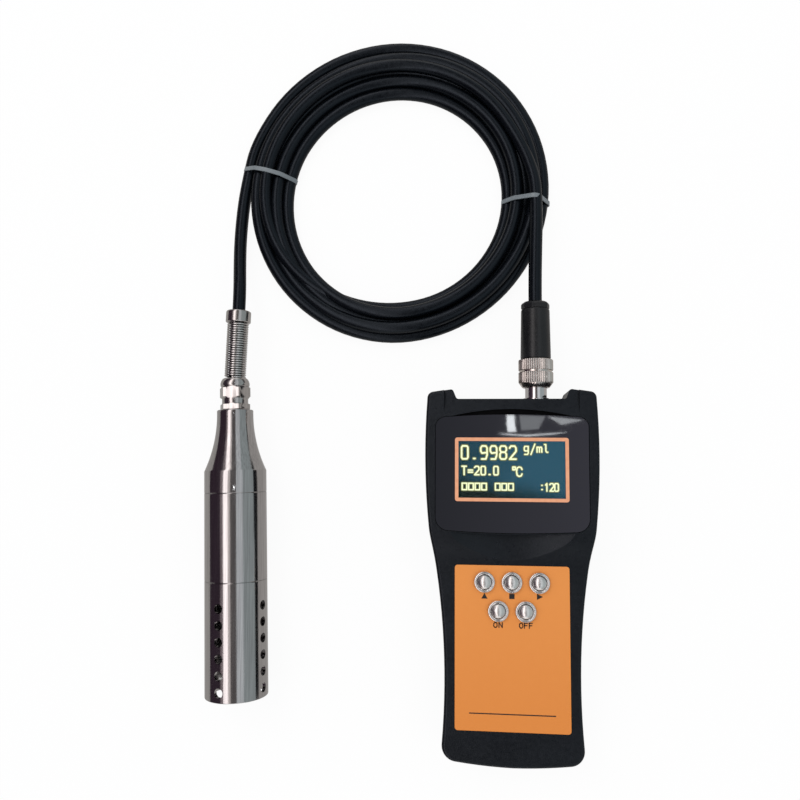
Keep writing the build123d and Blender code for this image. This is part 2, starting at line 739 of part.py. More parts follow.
with BuildPart() as main_board:
    with BuildSketch(Plane.XY.offset(BOARD_BACK_Z)):
        with Locations((0, (BOARD_LOW_Y + BOARD_HIGH_Y) / 2)):
            Rectangle(2 * BOARD_HALF, BOARD_HIGH_Y - BOARD_LOW_Y)
        with Locations(*POSTS):
            Circle(BOARD_SCREW_R + SCREW_CLEARANCE, mode=Mode.SUBTRACT)
    extrude(amount=BOARD_THICK)
save(main_board.part, "main_board")


with BuildPart() as board_parts:
    with BuildSketch(Plane.XY.offset(BOARD_BACK_Z)):
        with Locations((CHIP_X, PARTS_Y)):
            Rectangle(CHIP_SIDE, CHIP_SIDE)
    extrude(amount=-CHIP_THICK)
    with BuildSketch(Plane.XY.offset(BOARD_BACK_Z)):
        with Locations((BUZZER_X, PARTS_Y)):
            Circle(BUZZER_R)
    extrude(amount=-BUZZER_HEIGHT)
    with BuildSketch(Plane.XY.offset(BOARD_BACK_Z)):
        with Locations((0, HEADER_Y)):
            Rectangle(HEADER_LENGTH, HEADER_WIDTH)
    extrude(amount=-HEADER_HEIGHT)
    with BuildSketch(Plane.XY.offset(BOARD_BACK_Z)):
        with Locations((CHIP_X, CAPACITOR_Y), (BUZZER_X, CAPACITOR_Y)):
            Circle(CAPACITOR_R)
    extrude(amount=-CAPACITOR_HEIGHT)
save(board_parts.part, "board_parts")


with BuildPart() as board_screws:
    with BuildSketch(Plane.XY.offset(BOARD_BACK_Z)):
        with Locations(*POSTS):
            Circle(BOARD_SCREW_HEAD_R)
    extrude(amount=-BOARD_SCREW_HEAD_THICK)
    with BuildSketch(Plane.XY.offset(BOARD_BACK_Z)):
        with Locations(*POSTS):
            Circle(BOARD_SCREW_R)
    extrude(amount=BOARD_SCREW_LENGTH)
save(board_screws.part, "board_screws")


# Keypad

with BuildPart() as keypad_plate:
    with BuildSketch(Plane.XY.offset(PLATE_BED_Z)):
        with Locations((0, PLATE_Y)):
            RectangleRounded(PLATE_WIDTH, PLATE_HEIGHT, PLATE_R)
        with Locations(*BUTTONS.values()):
            Circle(BARREL_R + FIT_GAP, mode=Mode.SUBTRACT)
    extrude(amount=PLATE_THICK)
save(keypad_plate.part, "keypad_plate")


def upright_plane(x, y):
    """A plane through a button's own axis: local X is the radius and local Y the height."""
    return Plane(origin=(x, y, 0), x_dir=(1, 0, 0), z_dir=(0, -1, 0))


def upright_axis(x, y):
    """A button's own axis."""
    return Axis((x, y, 0), (0, 0, 1))


PLUNGER_REST_Z = PLATE_TOP_Z + FLANGE_HEIGHT
PLUNGER_BOTTOM_Z = PLUNGER_REST_Z - PLUNGER_LENGTH
PLUNGER_BORE_R = PLUNGER_R + SLIDE_GAP

with BuildPart() as button_barrels:
    for spot in BUTTONS.values():
        flange_top = PLATE_TOP_Z + FLANGE_HEIGHT
        lip_r = PLUNGER_BORE_R + FLANGE_DISH + FLANGE_LIP
        section = half_profile(
            upright_plane(*spot),
            [
                (0, BARREL_BOTTOM_Z),
                (BARREL_R, BARREL_BOTTOM_Z),
                (BARREL_R, PLATE_TOP_Z),
                (FLANGE_R, PLATE_TOP_Z),
                (FLANGE_R, PLATE_TOP_Z + FLANGE_EDGE),
                (FLANGE_R - FLANGE_SLOPE / 2, flange_top - FLANGE_EDGE / 2),
                (lip_r, flange_top),
                (lip_r - FLANGE_LIP, flange_top),
                (PLUNGER_BORE_R, flange_top - FLANGE_DISH),
                (PLUNGER_BORE_R, PLUNGER_BOTTOM_Z - PLUNGER_ROOM),
                (0, PLUNGER_BOTTOM_Z - PLUNGER_ROOM),
            ],
        )
        revolve(section, axis=upright_axis(*spot))
save(button_barrels.part, "button_barrels")


with BuildPart() as button_nuts:
    with BuildSketch(Plane.XY.offset(HANDLE_ROOF_Z)):
        with Locations(*BUTTONS.values()):
            RegularPolygon(BUTTON_NUT_FLATS / 2, 6, major_radius=False)
            Circle(BARREL_R + FIT_GAP, mode=Mode.SUBTRACT)
    extrude(amount=-BUTTON_NUT_THICK)
save(button_nuts.part, "button_nuts")


with BuildPart() as button_bases:
    with BuildSketch(Plane.XY.offset(BARREL_BOTTOM_Z)):
        with Locations(*BUTTONS.values()):
            Circle(BUTTON_BASE_R)
    extrude(amount=-BUTTON_BASE_LENGTH)
save(button_bases.part, "button_bases")


for button_name, spot in BUTTONS.items():
    with BuildPart() as plunger:
        with BuildSketch(upright_plane(*spot)):
            with BuildLine():
                side = Line((PLUNGER_R, PLUNGER_BOTTOM_Z), (PLUNGER_R, PLUNGER_REST_Z))
                dome_r = (PLUNGER_R**2 + PLUNGER_DOME**2) / (2 * PLUNGER_DOME)
                dome = RadiusArc(side @ 1, (0, PLUNGER_REST_Z + PLUNGER_DOME), -dome_r)
                Polyline(dome @ 1, (0, PLUNGER_BOTTOM_Z), side @ 0)
            make_face()
        revolve(axis=upright_axis(*spot))
    save(plunger.part, button_name)


# Batteries

CELL_SPOTS = [((place - (CELL_COUNT - 1) / 2) * CELL_PITCH, place % 2) for place in range(CELL_COUNT)]

with BuildPart() as battery_cells:
    for x, flipped in CELL_SPOTS:
        cell_plane = Plane(origin=(x, CELL_END_Y, CELL_Z), x_dir=(1, 0, 0), z_dir=(0, 1, 0))
        with BuildSketch(cell_plane):
            Circle(CELL_R)
        extrude(amount=CELL_LENGTH - CELL_NUB)
        with BuildSketch(cell_plane.offset(CELL_LENGTH - CELL_NUB)):
            Circle(CELL_NUB_R)
        extrude(amount=CELL_NUB)
save(battery_cells.part, "battery_cells")


with BuildPart() as battery_contacts:
    for x, flipped in CELL_SPOTS:
        end_plane = Plane(origin=(x, BAY_END_Y, CELL_Z), x_dir=(1, 0, 0), z_dir=(0, 1, 0))
        with BuildSketch(end_plane):
            Rectangle(CONTACT_SIDE, CONTACT_SIDE)
        extrude(amount=CONTACT_THICK)
        with BuildSketch(end_plane.offset(CONTACT_THICK)) as spring_foot:
            Circle(SPRING_BIG_R)
        with BuildSketch(end_plane.offset(CONTACT_THICK + SPRING_SEAT)) as spring_tip:
            Circle(SPRING_SMALL_R)
        loft()
        with BuildSketch(Plane(origin=(x, BAY_TOP_Y, CELL_Z), x_dir=(1, 0, 0), z_dir=(0, 1, 0))):
            Rectangle(CONTACT_SIDE, CONTACT_SIDE)
        extrude(amount=-CONTACT_THICK)
save(battery_contacts.part, "battery_contacts")


# Socket

with BuildPart() as socket_gasket:
    with BuildSketch(cross_plane(PLUG, NOTCH_FLOOR_Y)):
        Circle(GASKET_R)
        Circle(SOCKET_R + FIT_GAP, mode=Mode.SUBTRACT)
    extrude(amount=GASKET_THICK)
save(socket_gasket.part, "socket_gasket")


with BuildPart() as socket_body:
    socket_section = half_profile(
        PLUG,
        [
            (SOCKET_BORE_R, SOCKET_Y - SOCKET_IN),
            (SOCKET_R, SOCKET_Y - SOCKET_IN),
            (SOCKET_R, SOCKET_Y),
            (SOCKET_FLANGE_R, SOCKET_Y),
            (SOCKET_FLANGE_R, SOCKET_Y + SOCKET_FLANGE),
            (SOCKET_R, SOCKET_Y + SOCKET_FLANGE),
            (SOCKET_R, TUBE_OUT_Y - SOCKET_FLANGE / 2),
            (SOCKET_R - SOCKET_FLANGE / 2, TUBE_OUT_Y),
            (SOCKET_BORE_R, TUBE_OUT_Y),
        ],
    )
    revolve(socket_section, axis=axis_of(PLUG))
save(socket_body.part, "socket_body")


with BuildPart() as socket_nut:
    with BuildSketch(cross_plane(PLUG, NOTCH_FLOOR_Y - WALL)):
        RegularPolygon(SOCKET_NUT_FLATS / 2, 6, major_radius=False)
        Circle(SOCKET_R + FIT_GAP, mode=Mode.SUBTRACT)
    extrude(amount=-SOCKET_NUT_THICK)
save(socket_nut.part, "socket_nut")


with BuildPart() as socket_insert:
    with BuildSketch(cross_plane(PLUG, SOCKET_Y - SOCKET_IN)):
        Circle(SOCKET_BORE_R)
    extrude(amount=SOCKET_FLOOR)
save(socket_insert.part, "socket_insert")


with BuildPart() as socket_pins:
    with BuildSketch(cross_plane(PLUG, SOCKET_FLOOR_Y)):
        with PolarLocations(PIN_CIRCLE_R, PIN_COUNT, start_angle=45):
            Circle(PIN_R)
    extrude(amount=PIN_LENGTH)
save(socket_pins.part, "socket_pins")


# Plug with its knurled coupling nut

with BuildPart() as plug_insert:
    with BuildSketch(cross_plane(PLUG, SOCKET_FLOOR_Y + PLUG_INSERT_GAP)):
        Circle(PLUG_INSERT_R)
        with PolarLocations(PIN_CIRCLE_R, PIN_COUNT, start_angle=45):
            Circle(PIN_R + SLIDE_GAP, mode=Mode.SUBTRACT)
    extrude(amount=NECK_Y - SOCKET_FLOOR_Y - PLUG_INSERT_GAP)
save(plug_insert.part, "plug_insert")


with BuildPart() as plug_body:
    body_section = half_profile(
        PLUG,
        [
            (0, NECK_Y),
            (NECK_R, NECK_Y),
            (NECK_R, PLUG_BODY_Y),
            (PLUG_BODY_BIG_R - PLUG_EDGE, PLUG_BODY_Y),
            (PLUG_BODY_BIG_R, PLUG_BODY_Y + PLUG_EDGE),
            (PLUG_BODY_SMALL_R, CLAMP_Y - PLUG_EDGE),
            (PLUG_BODY_SMALL_R - PLUG_EDGE, CLAMP_Y),
            (0, CLAMP_Y),
        ],
    )
    revolve(body_section, axis=axis_of(PLUG))
save(plug_body.part, "plug_body")


with BuildPart() as plug_clamp_nut:
    with BuildSketch(cross_plane(PLUG, CLAMP_Y)):
        RegularPolygon(CLAMP_FLATS / 2, 8, major_radius=False)
    extrude(amount=CLAMP_LENGTH)
    clamp_section = half_profile(
        PLUG,
        [
            (0, CLAMP_Y),
            (CLAMP_R, CLAMP_Y),
            (CLAMP_R, CLAMP_END_Y - CLAMP_DOME),
            (CLAMP_TOP_R, CLAMP_END_Y),
            (0, CLAMP_END_Y),
        ],
    )
    revolve(clamp_section, axis=axis_of(PLUG), mode=Mode.INTERSECT)
save(plug_clamp_nut.part, "plug_clamp_nut")


def coupling_profile():
    """Half section of the coupling nut: chamfered mouth, two bands and the groove between."""
    band_y = COUPLING_Y + COUPLING_CHAMFER
    groove_y = band_y + COUPLING_BAND
    second_y = groove_y + COUPLING_GROOVE
    groove_r = COUPLING_R - COUPLING_GROOVE_DEPTH
    return half_profile(
        PLUG,
        [
            (SOCKET_R + SLIDE_GAP, COUPLING_Y),
            (COUPLING_CHAMFER_R, COUPLING_Y),
            (COUPLING_R, band_y),
            (COUPLING_R, groove_y),
            (groove_r, groove_y),
            (groove_r, second_y),
            (COUPLING_R, second_y),
            (COUPLING_R, COUPLING_END_Y),
            (NECK_R + SLIDE_GAP, COUPLING_END_Y),
            (NECK_R + SLIDE_GAP, NECK_Y - SLIDE_GAP),
            (SOCKET_R + SLIDE_GAP, NECK_Y - SLIDE_GAP),
        ],
    )


with BuildPart() as coupling_nut:
    revolve(coupling_profile(), axis=axis_of(PLUG))
    with BuildSketch(cross_plane(PLUG, COUPLING_Y + COUPLING_CHAMFER / 2)):
        with PolarLocations(COUPLING_R, KNURL_COUNT):
            Rectangle(KNURL_SIZE, KNURL_SIZE, rotation=45)
    extrude(amount=2 * COUPLING_BAND + COUPLING_CHAMFER + COUPLING_GROOVE, mode=Mode.SUBTRACT)
save(coupling_nut.part, "coupling_nut")


# Probe

SPIGOT_R = PROBE_BORE_R - SPIGOT_GAP

with BuildPart() as probe_head:
    with BuildSketch(PROBE):
        with BuildLine():
            arc_start = (HEAD_TOP_R, HEAD_TOP - HEAD_TOP_STRAIGHT)
            arc_end = (PROBE_R, HEAD_SHOULDER)
            run = HEAD_TOP - HEAD_TOP_STRAIGHT - HEAD_SHOULDER
            flare = PROBE_R - HEAD_TOP_R
            sweep_r = (run**2 + flare**2) / (2 * flare)
            cone = RadiusArc(arc_start, arc_end, sweep_r)
            Polyline(
                cone @ 1,
                (PROBE_R, SEAM_CHAMFER),
                (PROBE_R - SEAM_CHAMFER, 0),
                (SPIGOT_R, 0),
                (SPIGOT_R, -SPIGOT_LENGTH),
                (HEAD_CAVITY_R, -SPIGOT_LENGTH),
                (HEAD_CAVITY_R, HEAD_CAVITY_TOP),
                (GLAND_THREAD_R, HEAD_CAVITY_TOP),
                (GLAND_THREAD_R, HEAD_TOP),
                (HEAD_TOP_R - HEAD_TOP_CHAMFER, HEAD_TOP),
                (HEAD_TOP_R, HEAD_TOP - HEAD_TOP_CHAMFER),
                cone @ 0,
            )
        make_face()
    revolve(axis=axis_of(PROBE))
    groove = half_profile(
        PROBE,
        [
            (SPIGOT_R - ORING_DEPTH, SPIGOT_ORING - ORING_WIDTH / 2),
            (SPIGOT_R + ORING_DEPTH, SPIGOT_ORING - ORING_WIDTH / 2),
            (SPIGOT_R + ORING_DEPTH, SPIGOT_ORING + ORING_WIDTH / 2),
            (SPIGOT_R - ORING_DEPTH, SPIGOT_ORING + ORING_WIDTH / 2),
        ],
    )
    revolve(groove, axis=axis_of(PROBE), mode=Mode.SUBTRACT)
save(probe_head.part, "probe_head")


with BuildPart() as probe_tube:
    tube_section = half_profile(
        PROBE,
        [
            (PROBE_BORE_R, 0),
            (PROBE_R - SEAM_CHAMFER, 0),
            (PROBE_R, -SEAM_CHAMFER),
            (PROBE_R, TUBE_END + SEAM_CHAMFER),
            (PROBE_R - SEAM_CHAMFER, TUBE_END),
            (PROBE_BORE_R, TUBE_END),
        ],
    )
    revolve(tube_section, axis=axis_of(PROBE))
save(probe_tube.part, "probe_tube")


with BuildPart() as fork_guard:
    guard_section = half_profile(
        PROBE,
        [
            (PROBE_BORE_R, TUBE_END),
            (PROBE_R - SEAM_CHAMFER, TUBE_END),
            (PROBE_R, TUBE_END - SEAM_CHAMFER),
            (PROBE_R, GUARD_END + SEAM_CHAMFER),
            (PROBE_R - SEAM_CHAMFER, GUARD_END),
            (PROBE_BORE_R, GUARD_END),
        ],
    )
    revolve(guard_section, axis=axis_of(PROBE))
    for column in range(GUARD_COLUMNS):
        angle = math.radians(GUARD_HOLE_TURN + column * 360 / GUARD_COLUMNS)
        outward = PROBE.x_dir * math.sin(angle) + PROBE.z_dir * math.cos(angle)
        column_plane = Plane(origin=PROBE.origin, x_dir=PROBE.y_dir, z_dir=outward)
        with BuildSketch(column_plane):
            spots = [(GUARD_HOLE_FIRST - row * GUARD_HOLE_PITCH, 0) for row in range(GUARD_HOLE_COUNT)]
            with Locations(*spots):
                Circle(GUARD_HOLE_R)
        extrude(amount=PROBE_R + TUBE_WALL, mode=Mode.SUBTRACT)
save(fork_guard.part, "fork_guard")


with BuildPart() as tuning_fork:
    base_section = half_profile(
        PROBE,
        [
            (0, FORK_BASE_BOTTOM),
            (SPIGOT_R, FORK_BASE_BOTTOM),
            (SPIGOT_R, FORK_BASE_TOP),
            (0, FORK_BASE_TOP),
        ],
    )
    revolve(base_section, axis=axis_of(PROBE))
    base_groove = half_profile(
        PROBE,
        [
            (SPIGOT_R - ORING_DEPTH, BASE_ORING - ORING_WIDTH / 2),
            (SPIGOT_R + ORING_DEPTH, BASE_ORING - ORING_WIDTH / 2),
            (SPIGOT_R + ORING_DEPTH, BASE_ORING + ORING_WIDTH / 2),
            (SPIGOT_R - ORING_DEPTH, BASE_ORING + ORING_WIDTH / 2),
        ],
    )
    revolve(base_groove, axis=axis_of(PROBE), mode=Mode.SUBTRACT)
    # Two paddle tines that thicken at the root and round off at the tip
    with BuildSketch(PROBE.offset(-TINE_WIDTH / 2)):
        with BuildLine():
            inner = TINE_GAP / 2
            outer = TINE_GAP / 2 + TINE_THICK
            Polyline(
                (inner, FORK_BASE_BOTTOM),
                (inner, TINE_END),
                (outer, TINE_END),
                (outer, FORK_BASE_BOTTOM - TINE_ROOT),
                (outer + TINE_THICK / 2, FORK_BASE_BOTTOM),
                close=True,
            )
        make_face()
        mirror(about=Plane.YZ)
    extrude(amount=TINE_WIDTH)
    fillet(tuning_fork.edges().filter_by(Axis(PROBE.origin, PROBE.x_dir)).sort_by(axis_of(PROBE))[:4], TINE_TIP_R)
    with BuildSketch(cross_plane(PROBE, FORK_BASE_TOP)):
        with Locations((-PIEZO_X, 0), (PIEZO_X, 0)):
            Circle(PIEZO_R + FIT_GAP)
    extrude(amount=-PIEZO_LENGTH, mode=Mode.SUBTRACT)
save(tuning_fork.part, "tuning_fork")


with BuildPart() as piezo_stacks:
    with BuildSketch(cross_plane(PROBE, FORK_BASE_TOP)):
        with Locations((-PIEZO_X, 0), (PIEZO_X, 0)):
            Circle(PIEZO_R)
    extrude(amount=-PIEZO_LENGTH)
save(piezo_stacks.part, "piezo_stacks")


with BuildPart() as probe_orings:
    for station in (SPIGOT_ORING, BASE_ORING):
        ring_section = half_profile(
            PROBE,
            [
                (SPIGOT_R - ORING_DEPTH + FIT_GAP, station - ORING_WIDTH / 2 + FIT_GAP),
                (PROBE_BORE_R - FIT_GAP, station - ORING_WIDTH / 2 + FIT_GAP),
                (PROBE_BORE_R - FIT_GAP, station + ORING_WIDTH / 2 - FIT_GAP),
                (SPIGOT_R - ORING_DEPTH + FIT_GAP, station + ORING_WIDTH / 2 - FIT_GAP),
            ],
        )
        revolve(ring_section, axis=axis_of(PROBE))
save(probe_orings.part, "probe_orings")


with BuildPart() as probe_board:
    with BuildSketch(cross_plane(PROBE, FORK_BASE_TOP)):
        Rectangle(PROBE_BOARD_WIDTH, BOARD_THICK)
    extrude(amount=-SPIGOT_LENGTH - FORK_BASE_TOP)
save(probe_board.part, "probe_board")


# Cable gland and bend relief

with BuildPart() as gland_body:
    add(hexagon_bar(PROBE, GLAND_HEX_FLATS, GLAND_HEX_START, GLAND_HEX_END))
    gland_section = half_profile(
        PROBE,
        [
            (0, HEAD_CAVITY_TOP),
            (GLAND_THREAD_R - FIT_GAP, HEAD_CAVITY_TOP),
            (GLAND_THREAD_R - FIT_GAP, GLAND_HEX_START),
            (GLAND_NECK_R, GLAND_HEX_START),
            (GLAND_NECK_R, GLAND_NECK_END),
            (GLAND_SLEEVE_R, GLAND_NECK_END),
            (GLAND_SLEEVE_R, GLAND_SLEEVE_END),
            (GLAND_SEAT_R, GLAND_SLEEVE_END),
            (GLAND_SEAT_R, GLAND_SEAT_START),
            (0, GLAND_SEAT_START),
        ],
    )
    revolve(gland_section, axis=axis_of(PROBE))
save(gland_body.part, "gland_body")


CABLE_ROOM_R = CABLE_R + 2 * SLIDE_GAP

with BuildPart() as gland_seal:
    with BuildSketch(cross_plane(PROBE, GLAND_SEAT_START)):
        Circle(GLAND_SEAT_R - FIT_GAP)
        Circle(CABLE_ROOM_R, mode=Mode.SUBTRACT)
    extrude(amount=GLAND_SLEEVE_END - GLAND_SEAT_START)
save(gland_seal.part, "gland_seal")


with BuildPart() as gland_nut:
    add(hexagon_bar(PROBE, GLAND_NUT_FLATS, GLAND_NECK_END, GLAND_NUT_END))
    corner_section = half_profile(
        PROBE,
        [
            (0, GLAND_NECK_END),
            (GLAND_NUT_FLATS / 2, GLAND_NECK_END),
            (GLAND_CORNER_R, GLAND_NECK_END + (GLAND_CORNER_R - GLAND_NUT_FLATS / 2)),
            (GLAND_CORNER_R, GLAND_NUT_END - (GLAND_CORNER_R - GLAND_NUT_FLATS / 2)),
            (GLAND_NUT_FLATS / 2, GLAND_NUT_END),
            (0, GLAND_NUT_END),
        ],
    )
    revolve(corner_section, axis=axis_of(PROBE), mode=Mode.INTERSECT)
    with BuildSketch(PROBE):
        with BuildLine():
            shoulder = Line((0, GLAND_NUT_END), (GLAND_DOME_BULGE, GLAND_NUT_END))
            middle = (GLAND_DOME_BULGE - FIT_GAP, (GLAND_NUT_END + GLAND_DOME_END) / 2)
            bulge = ThreePointArc(shoulder @ 1, middle, (GLAND_DOME_R, GLAND_DOME_END))
            Polyline(bulge @ 1, (0, GLAND_DOME_END), shoulder @ 0)
        make_face()
    revolve(axis=axis_of(PROBE))
    with BuildSketch(cross_plane(PROBE, GLAND_NECK_END)):
        Circle(GLAND_SLEEVE_R + FIT_GAP)
    extrude(amount=GLAND_SLEEVE_END + FIT_GAP - GLAND_NECK_END, mode=Mode.SUBTRACT)
    with BuildSketch(cross_plane(PROBE, GLAND_NECK_END)):
        Circle(CABLE_ROOM_R)
    extrude(amount=GLAND_DOME_END - GLAND_NECK_END, mode=Mode.SUBTRACT)
save(gland_nut.part, "gland_nut")


def relief_profile():
    """Half section of the bend relief: a thin sleeve with one rounded ring for each turn of its wire."""
    pitch = RELIEF_LENGTH / RELIEF_COILS
    root_r = RELIEF_R - RELIEF_WIRE / 2
    corners = [(RELIEF_R - RELIEF_WIRE, RELIEF_END), (RELIEF_R - RELIEF_WIRE, RELIEF_SEAT)]
    for turn in range(RELIEF_COILS):
        foot = RELIEF_SEAT + turn * pitch
        corners.append((root_r, foot))
        corners.append((RELIEF_R, foot + pitch / 4))
        corners.append((RELIEF_R, foot + 3 * pitch / 4))
    corners.append((root_r, RELIEF_END))
    return half_profile(RELIEF, corners)


with BuildPart() as strain_spring:
    revolve(relief_profile(), axis=axis_of(RELIEF))
    add(gland_nut.part, mode=Mode.SUBTRACT)
save(strain_spring.part, "strain_spring")


with BuildPart() as spring_cap:
    with BuildSketch(RELIEF):
        with BuildLine():
            foot = Line((CABLE_R + SLIDE_GAP, RELIEF_END), (CAP_R, RELIEF_END))
            side = Line(foot @ 1, (CAP_R, CAP_END - CAP_ROUND))
            crown = RadiusArc(side @ 1, (CAP_R - CAP_ROUND, CAP_END), -CAP_ROUND)
            Polyline(crown @ 1, (CABLE_R + SLIDE_GAP, CAP_END), foot @ 0)
        make_face()
    revolve(axis=axis_of(RELIEF))
save(spring_cap.part, "spring_cap")


with BuildPart() as cable_entry:
    with BuildSketch(cross_plane(RELIEF, -CABLE_LENGTH_IN_GLAND)):
        Circle(CABLE_R)
    extrude(amount=CAP_END + CABLE_LENGTH_IN_GLAND)
save(cable_entry.part, "cable_entry")


# Lead: one closed ring for the coil, a tube for each tail, and a tie on each side

def coil_ring(shrink=0.0):
    """The coil's outer shape, or its core when shrunk all round."""
    with BuildPart() as ring:
        with BuildSketch(Plane.XY.offset(shrink)):
            with Locations((COIL_X, COIL_Y)):
                Circle(COIL_R - shrink)
            with Locations((COIL_HOLE_X, COIL_HOLE_Y)):
                Circle(COIL_HOLE_R + shrink, mode=Mode.SUBTRACT)
        extrude(amount=COIL_HEIGHT - 2 * shrink)
        fillet(ring.faces().filter_by(Axis.Z).edges(), COIL_ROUND - shrink)
    return ring.part


def tie_slab(spot):
    """A narrow slab across one side of the coil, at a place and an angle."""
    x, y, turn = spot
    slab_plane = turned_plane(x, y, 0, turn)
    with BuildPart() as slab:
        with BuildSketch(slab_plane):
            Rectangle(TIE_SPAN, TIE_WIDTH)
        extrude(amount=COIL_HEIGHT)
    return slab.part


with BuildPart() as coil_tie_left:
    add(coil_ring())
    add(coil_ring(TIE_THICK), mode=Mode.SUBTRACT)
    add(tie_slab(TIE_LEFT), mode=Mode.INTERSECT)
save(coil_tie_left.part, "coil_tie_left")


with BuildPart() as coil_tie_right:
    add(coil_ring())
    add(coil_ring(TIE_THICK), mode=Mode.SUBTRACT)
    add(tie_slab(TIE_RIGHT), mode=Mode.INTERSECT)
save(coil_tie_right.part, "coil_tie_right")


with BuildPart() as cable_coil:
    add(coil_ring())
    add(coil_tie_left.part, mode=Mode.SUBTRACT)
    add(coil_tie_right.part, mode=Mode.SUBTRACT)
save(cable_coil.part, "cable_coil")


def tail_radii(points):
    """The largest arcs that the runs of a route allow, one for each corner."""
    radii = []
    for before, here, after in zip(points, points[1:], points[2:]):
        run_in = Vector(*here) - Vector(*before)
        run_out = Vector(*after) - Vector(*here)
        half_turn = math.radians(run_in.get_angle(run_out)) / 2
        radii.append(RADIUS_SHARE * min(run_in.length, run_out.length) / math.tan(half_turn))
    return radii


def tail_tube(points):
    """A tube of the cable's diameter along straight runs joined by tangent arcs."""
    radii = tail_radii(points)
    print("tail radii", [round(radius) for radius in radii])
    with BuildPart() as tube:
        with BuildLine() as route:
            FilletPolyline(*points, radius=radii)
        with BuildSketch(Plane(origin=route.line @ 0, z_dir=route.line % 0)):
            Circle(CABLE_R)
        sweep()
    length = route.wires()[0].length
    print("tail length", round(length, 1))
    print("volume ratio", round(tube.part.volume / (math.pi * CABLE_R**2 * length), 4))
    return tube.part


CAP_EXIT = RELIEF.from_local_coords((0, CAP_END, 0))
CAP_STRAIGHT = RELIEF.from_local_coords((0, CAP_END + TAIL_STRAIGHT, 0))

PROBE_TAIL = [
    (CAP_EXIT.X, CAP_EXIT.Y, CAP_EXIT.Z),
    (CAP_STRAIGHT.X, CAP_STRAIGHT.Y, CAP_STRAIGHT.Z),
    (-159.9, 176.0, 10.2),
    (-161.6, 194.0, 5.2),
    (-160.6, 216.0, CORD_FLOOR_Z),
    (-157.0, 232.5, CORD_FLOOR_Z),
    (-148.5, 249.0, CORD_FLOOR_Z + 1),
]

METER_TAIL = [
    (PLUG_X, CLAMP_END_Y, PLUG_Z),
    (PLUG_X, CLAMP_END_Y + TAIL_STRAIGHT, PLUG_Z),
    (14.9, 181.0, 18.0),
    (15.5, 197.0, 16.4),
    (15.7, 212.0, 13.0),
    (14.6, 226.0, 9.2),
]

with BuildPart() as cable_tail_probe:
    add(tail_tube(PROBE_TAIL))
    add(cable_coil.part, mode=Mode.SUBTRACT)
    add(coil_tie_left.part, mode=Mode.SUBTRACT)
save(cable_tail_probe.part, "cable_tail_probe")


with BuildPart() as cable_tail_meter:
    add(tail_tube(METER_TAIL))
    add(cable_coil.part, mode=Mode.SUBTRACT)
    add(coil_tie_right.part, mode=Mode.SUBTRACT)
save(cable_tail_meter.part, "cable_tail_meter")
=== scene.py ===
import json
import math

import bmesh
import bpy
from mathutils import Matrix, Vector, noise


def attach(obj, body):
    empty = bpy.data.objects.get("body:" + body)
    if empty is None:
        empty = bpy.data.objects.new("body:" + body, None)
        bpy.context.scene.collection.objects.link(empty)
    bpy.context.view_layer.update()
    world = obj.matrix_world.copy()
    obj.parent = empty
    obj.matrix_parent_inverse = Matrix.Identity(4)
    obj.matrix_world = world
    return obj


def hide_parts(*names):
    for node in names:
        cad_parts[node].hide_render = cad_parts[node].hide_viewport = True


# Density meter: a keypad housing, a coiled lead and a tuning-fork probe.
# Sizes are millimetres in the CAD frame, and MM turns them into metres. Only the stage is laid out in metres.

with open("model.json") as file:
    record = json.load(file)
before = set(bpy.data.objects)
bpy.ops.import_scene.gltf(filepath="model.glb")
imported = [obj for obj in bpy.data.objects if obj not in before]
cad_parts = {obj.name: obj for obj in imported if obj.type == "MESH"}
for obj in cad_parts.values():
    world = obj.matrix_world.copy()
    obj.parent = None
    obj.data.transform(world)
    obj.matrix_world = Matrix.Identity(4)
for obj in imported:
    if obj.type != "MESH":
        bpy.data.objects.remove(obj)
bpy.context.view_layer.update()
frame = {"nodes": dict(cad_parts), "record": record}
MM = 0.001

# Places and sizes shared with the CAD model
LENS_TOP_Z = 33.9
GLASS_TOP_Z = 31.0
PLATE_TOP_Z = 28.15
BUTTON_PITCH = 14.55
UPPER_ROW_Y = -3.7
LOWER_ROW_Y = -18.8
BUTTONS = {
    "button_up": (-BUTTON_PITCH, UPPER_ROW_Y),
    "button_set": (0.0, UPPER_ROW_Y),
    "button_right": (BUTTON_PITCH, UPPER_ROW_Y),
    "button_on": (-BUTTON_PITCH / 2, LOWER_ROW_Y),
    "button_off": (BUTTON_PITCH / 2, LOWER_ROW_Y),
}
PLUG_X = 14.4
PLUG_Z = 18.5
PROBE_X = -156.4
PROBE_Y = 42.1
PROBE_R = 17.5
PROBE_TURN = 1.9
RELIEF_LEAN = -1.7
CABLE_D = 7.5

# Stations along the probe's axis, from the seam between its head and its tube
GUARD_END = -112.8
GUARD_SEAM = -49.1
SEAM_GAP = 0.02
HEAD_SHOULDER = 12.2
HEAD_TOP = 47.2
GLAND_NUT_START = 53.95
RELIEF_START = 65.9

# The camera's place, and its turns about X, Y and Z in degrees
CAMERA_X = -19.49
CAMERA_Y = 56.99
CAMERA_Z = 440.16
CAMERA_TURNS = (5.181, 5.687, 0.432)
CAMERA_LENS = 33.75


# Frames: local Y runs along the axis of a turned piece

def turned_frame(x, y, z, turn):
    """A level frame at a place, its Y turned from +Y by an angle in degrees."""
    return Matrix.Translation((x, y, z)) @ Matrix.Rotation(math.radians(turn), 4, "Z")


def upright_frame(x, y):
    """A frame whose Y points straight up from the table."""
    return Matrix.Translation((x, y, 0)) @ Matrix.Rotation(math.radians(90), 4, "X")


PROBE = turned_frame(PROBE_X, PROBE_Y, PROBE_R, PROBE_TURN)
RELIEF_PLACE = PROBE @ Vector((0, RELIEF_START, 0))
RELIEF = turned_frame(*RELIEF_PLACE, RELIEF_LEAN)
PLUG = turned_frame(PLUG_X, 0, PLUG_Z, 0)


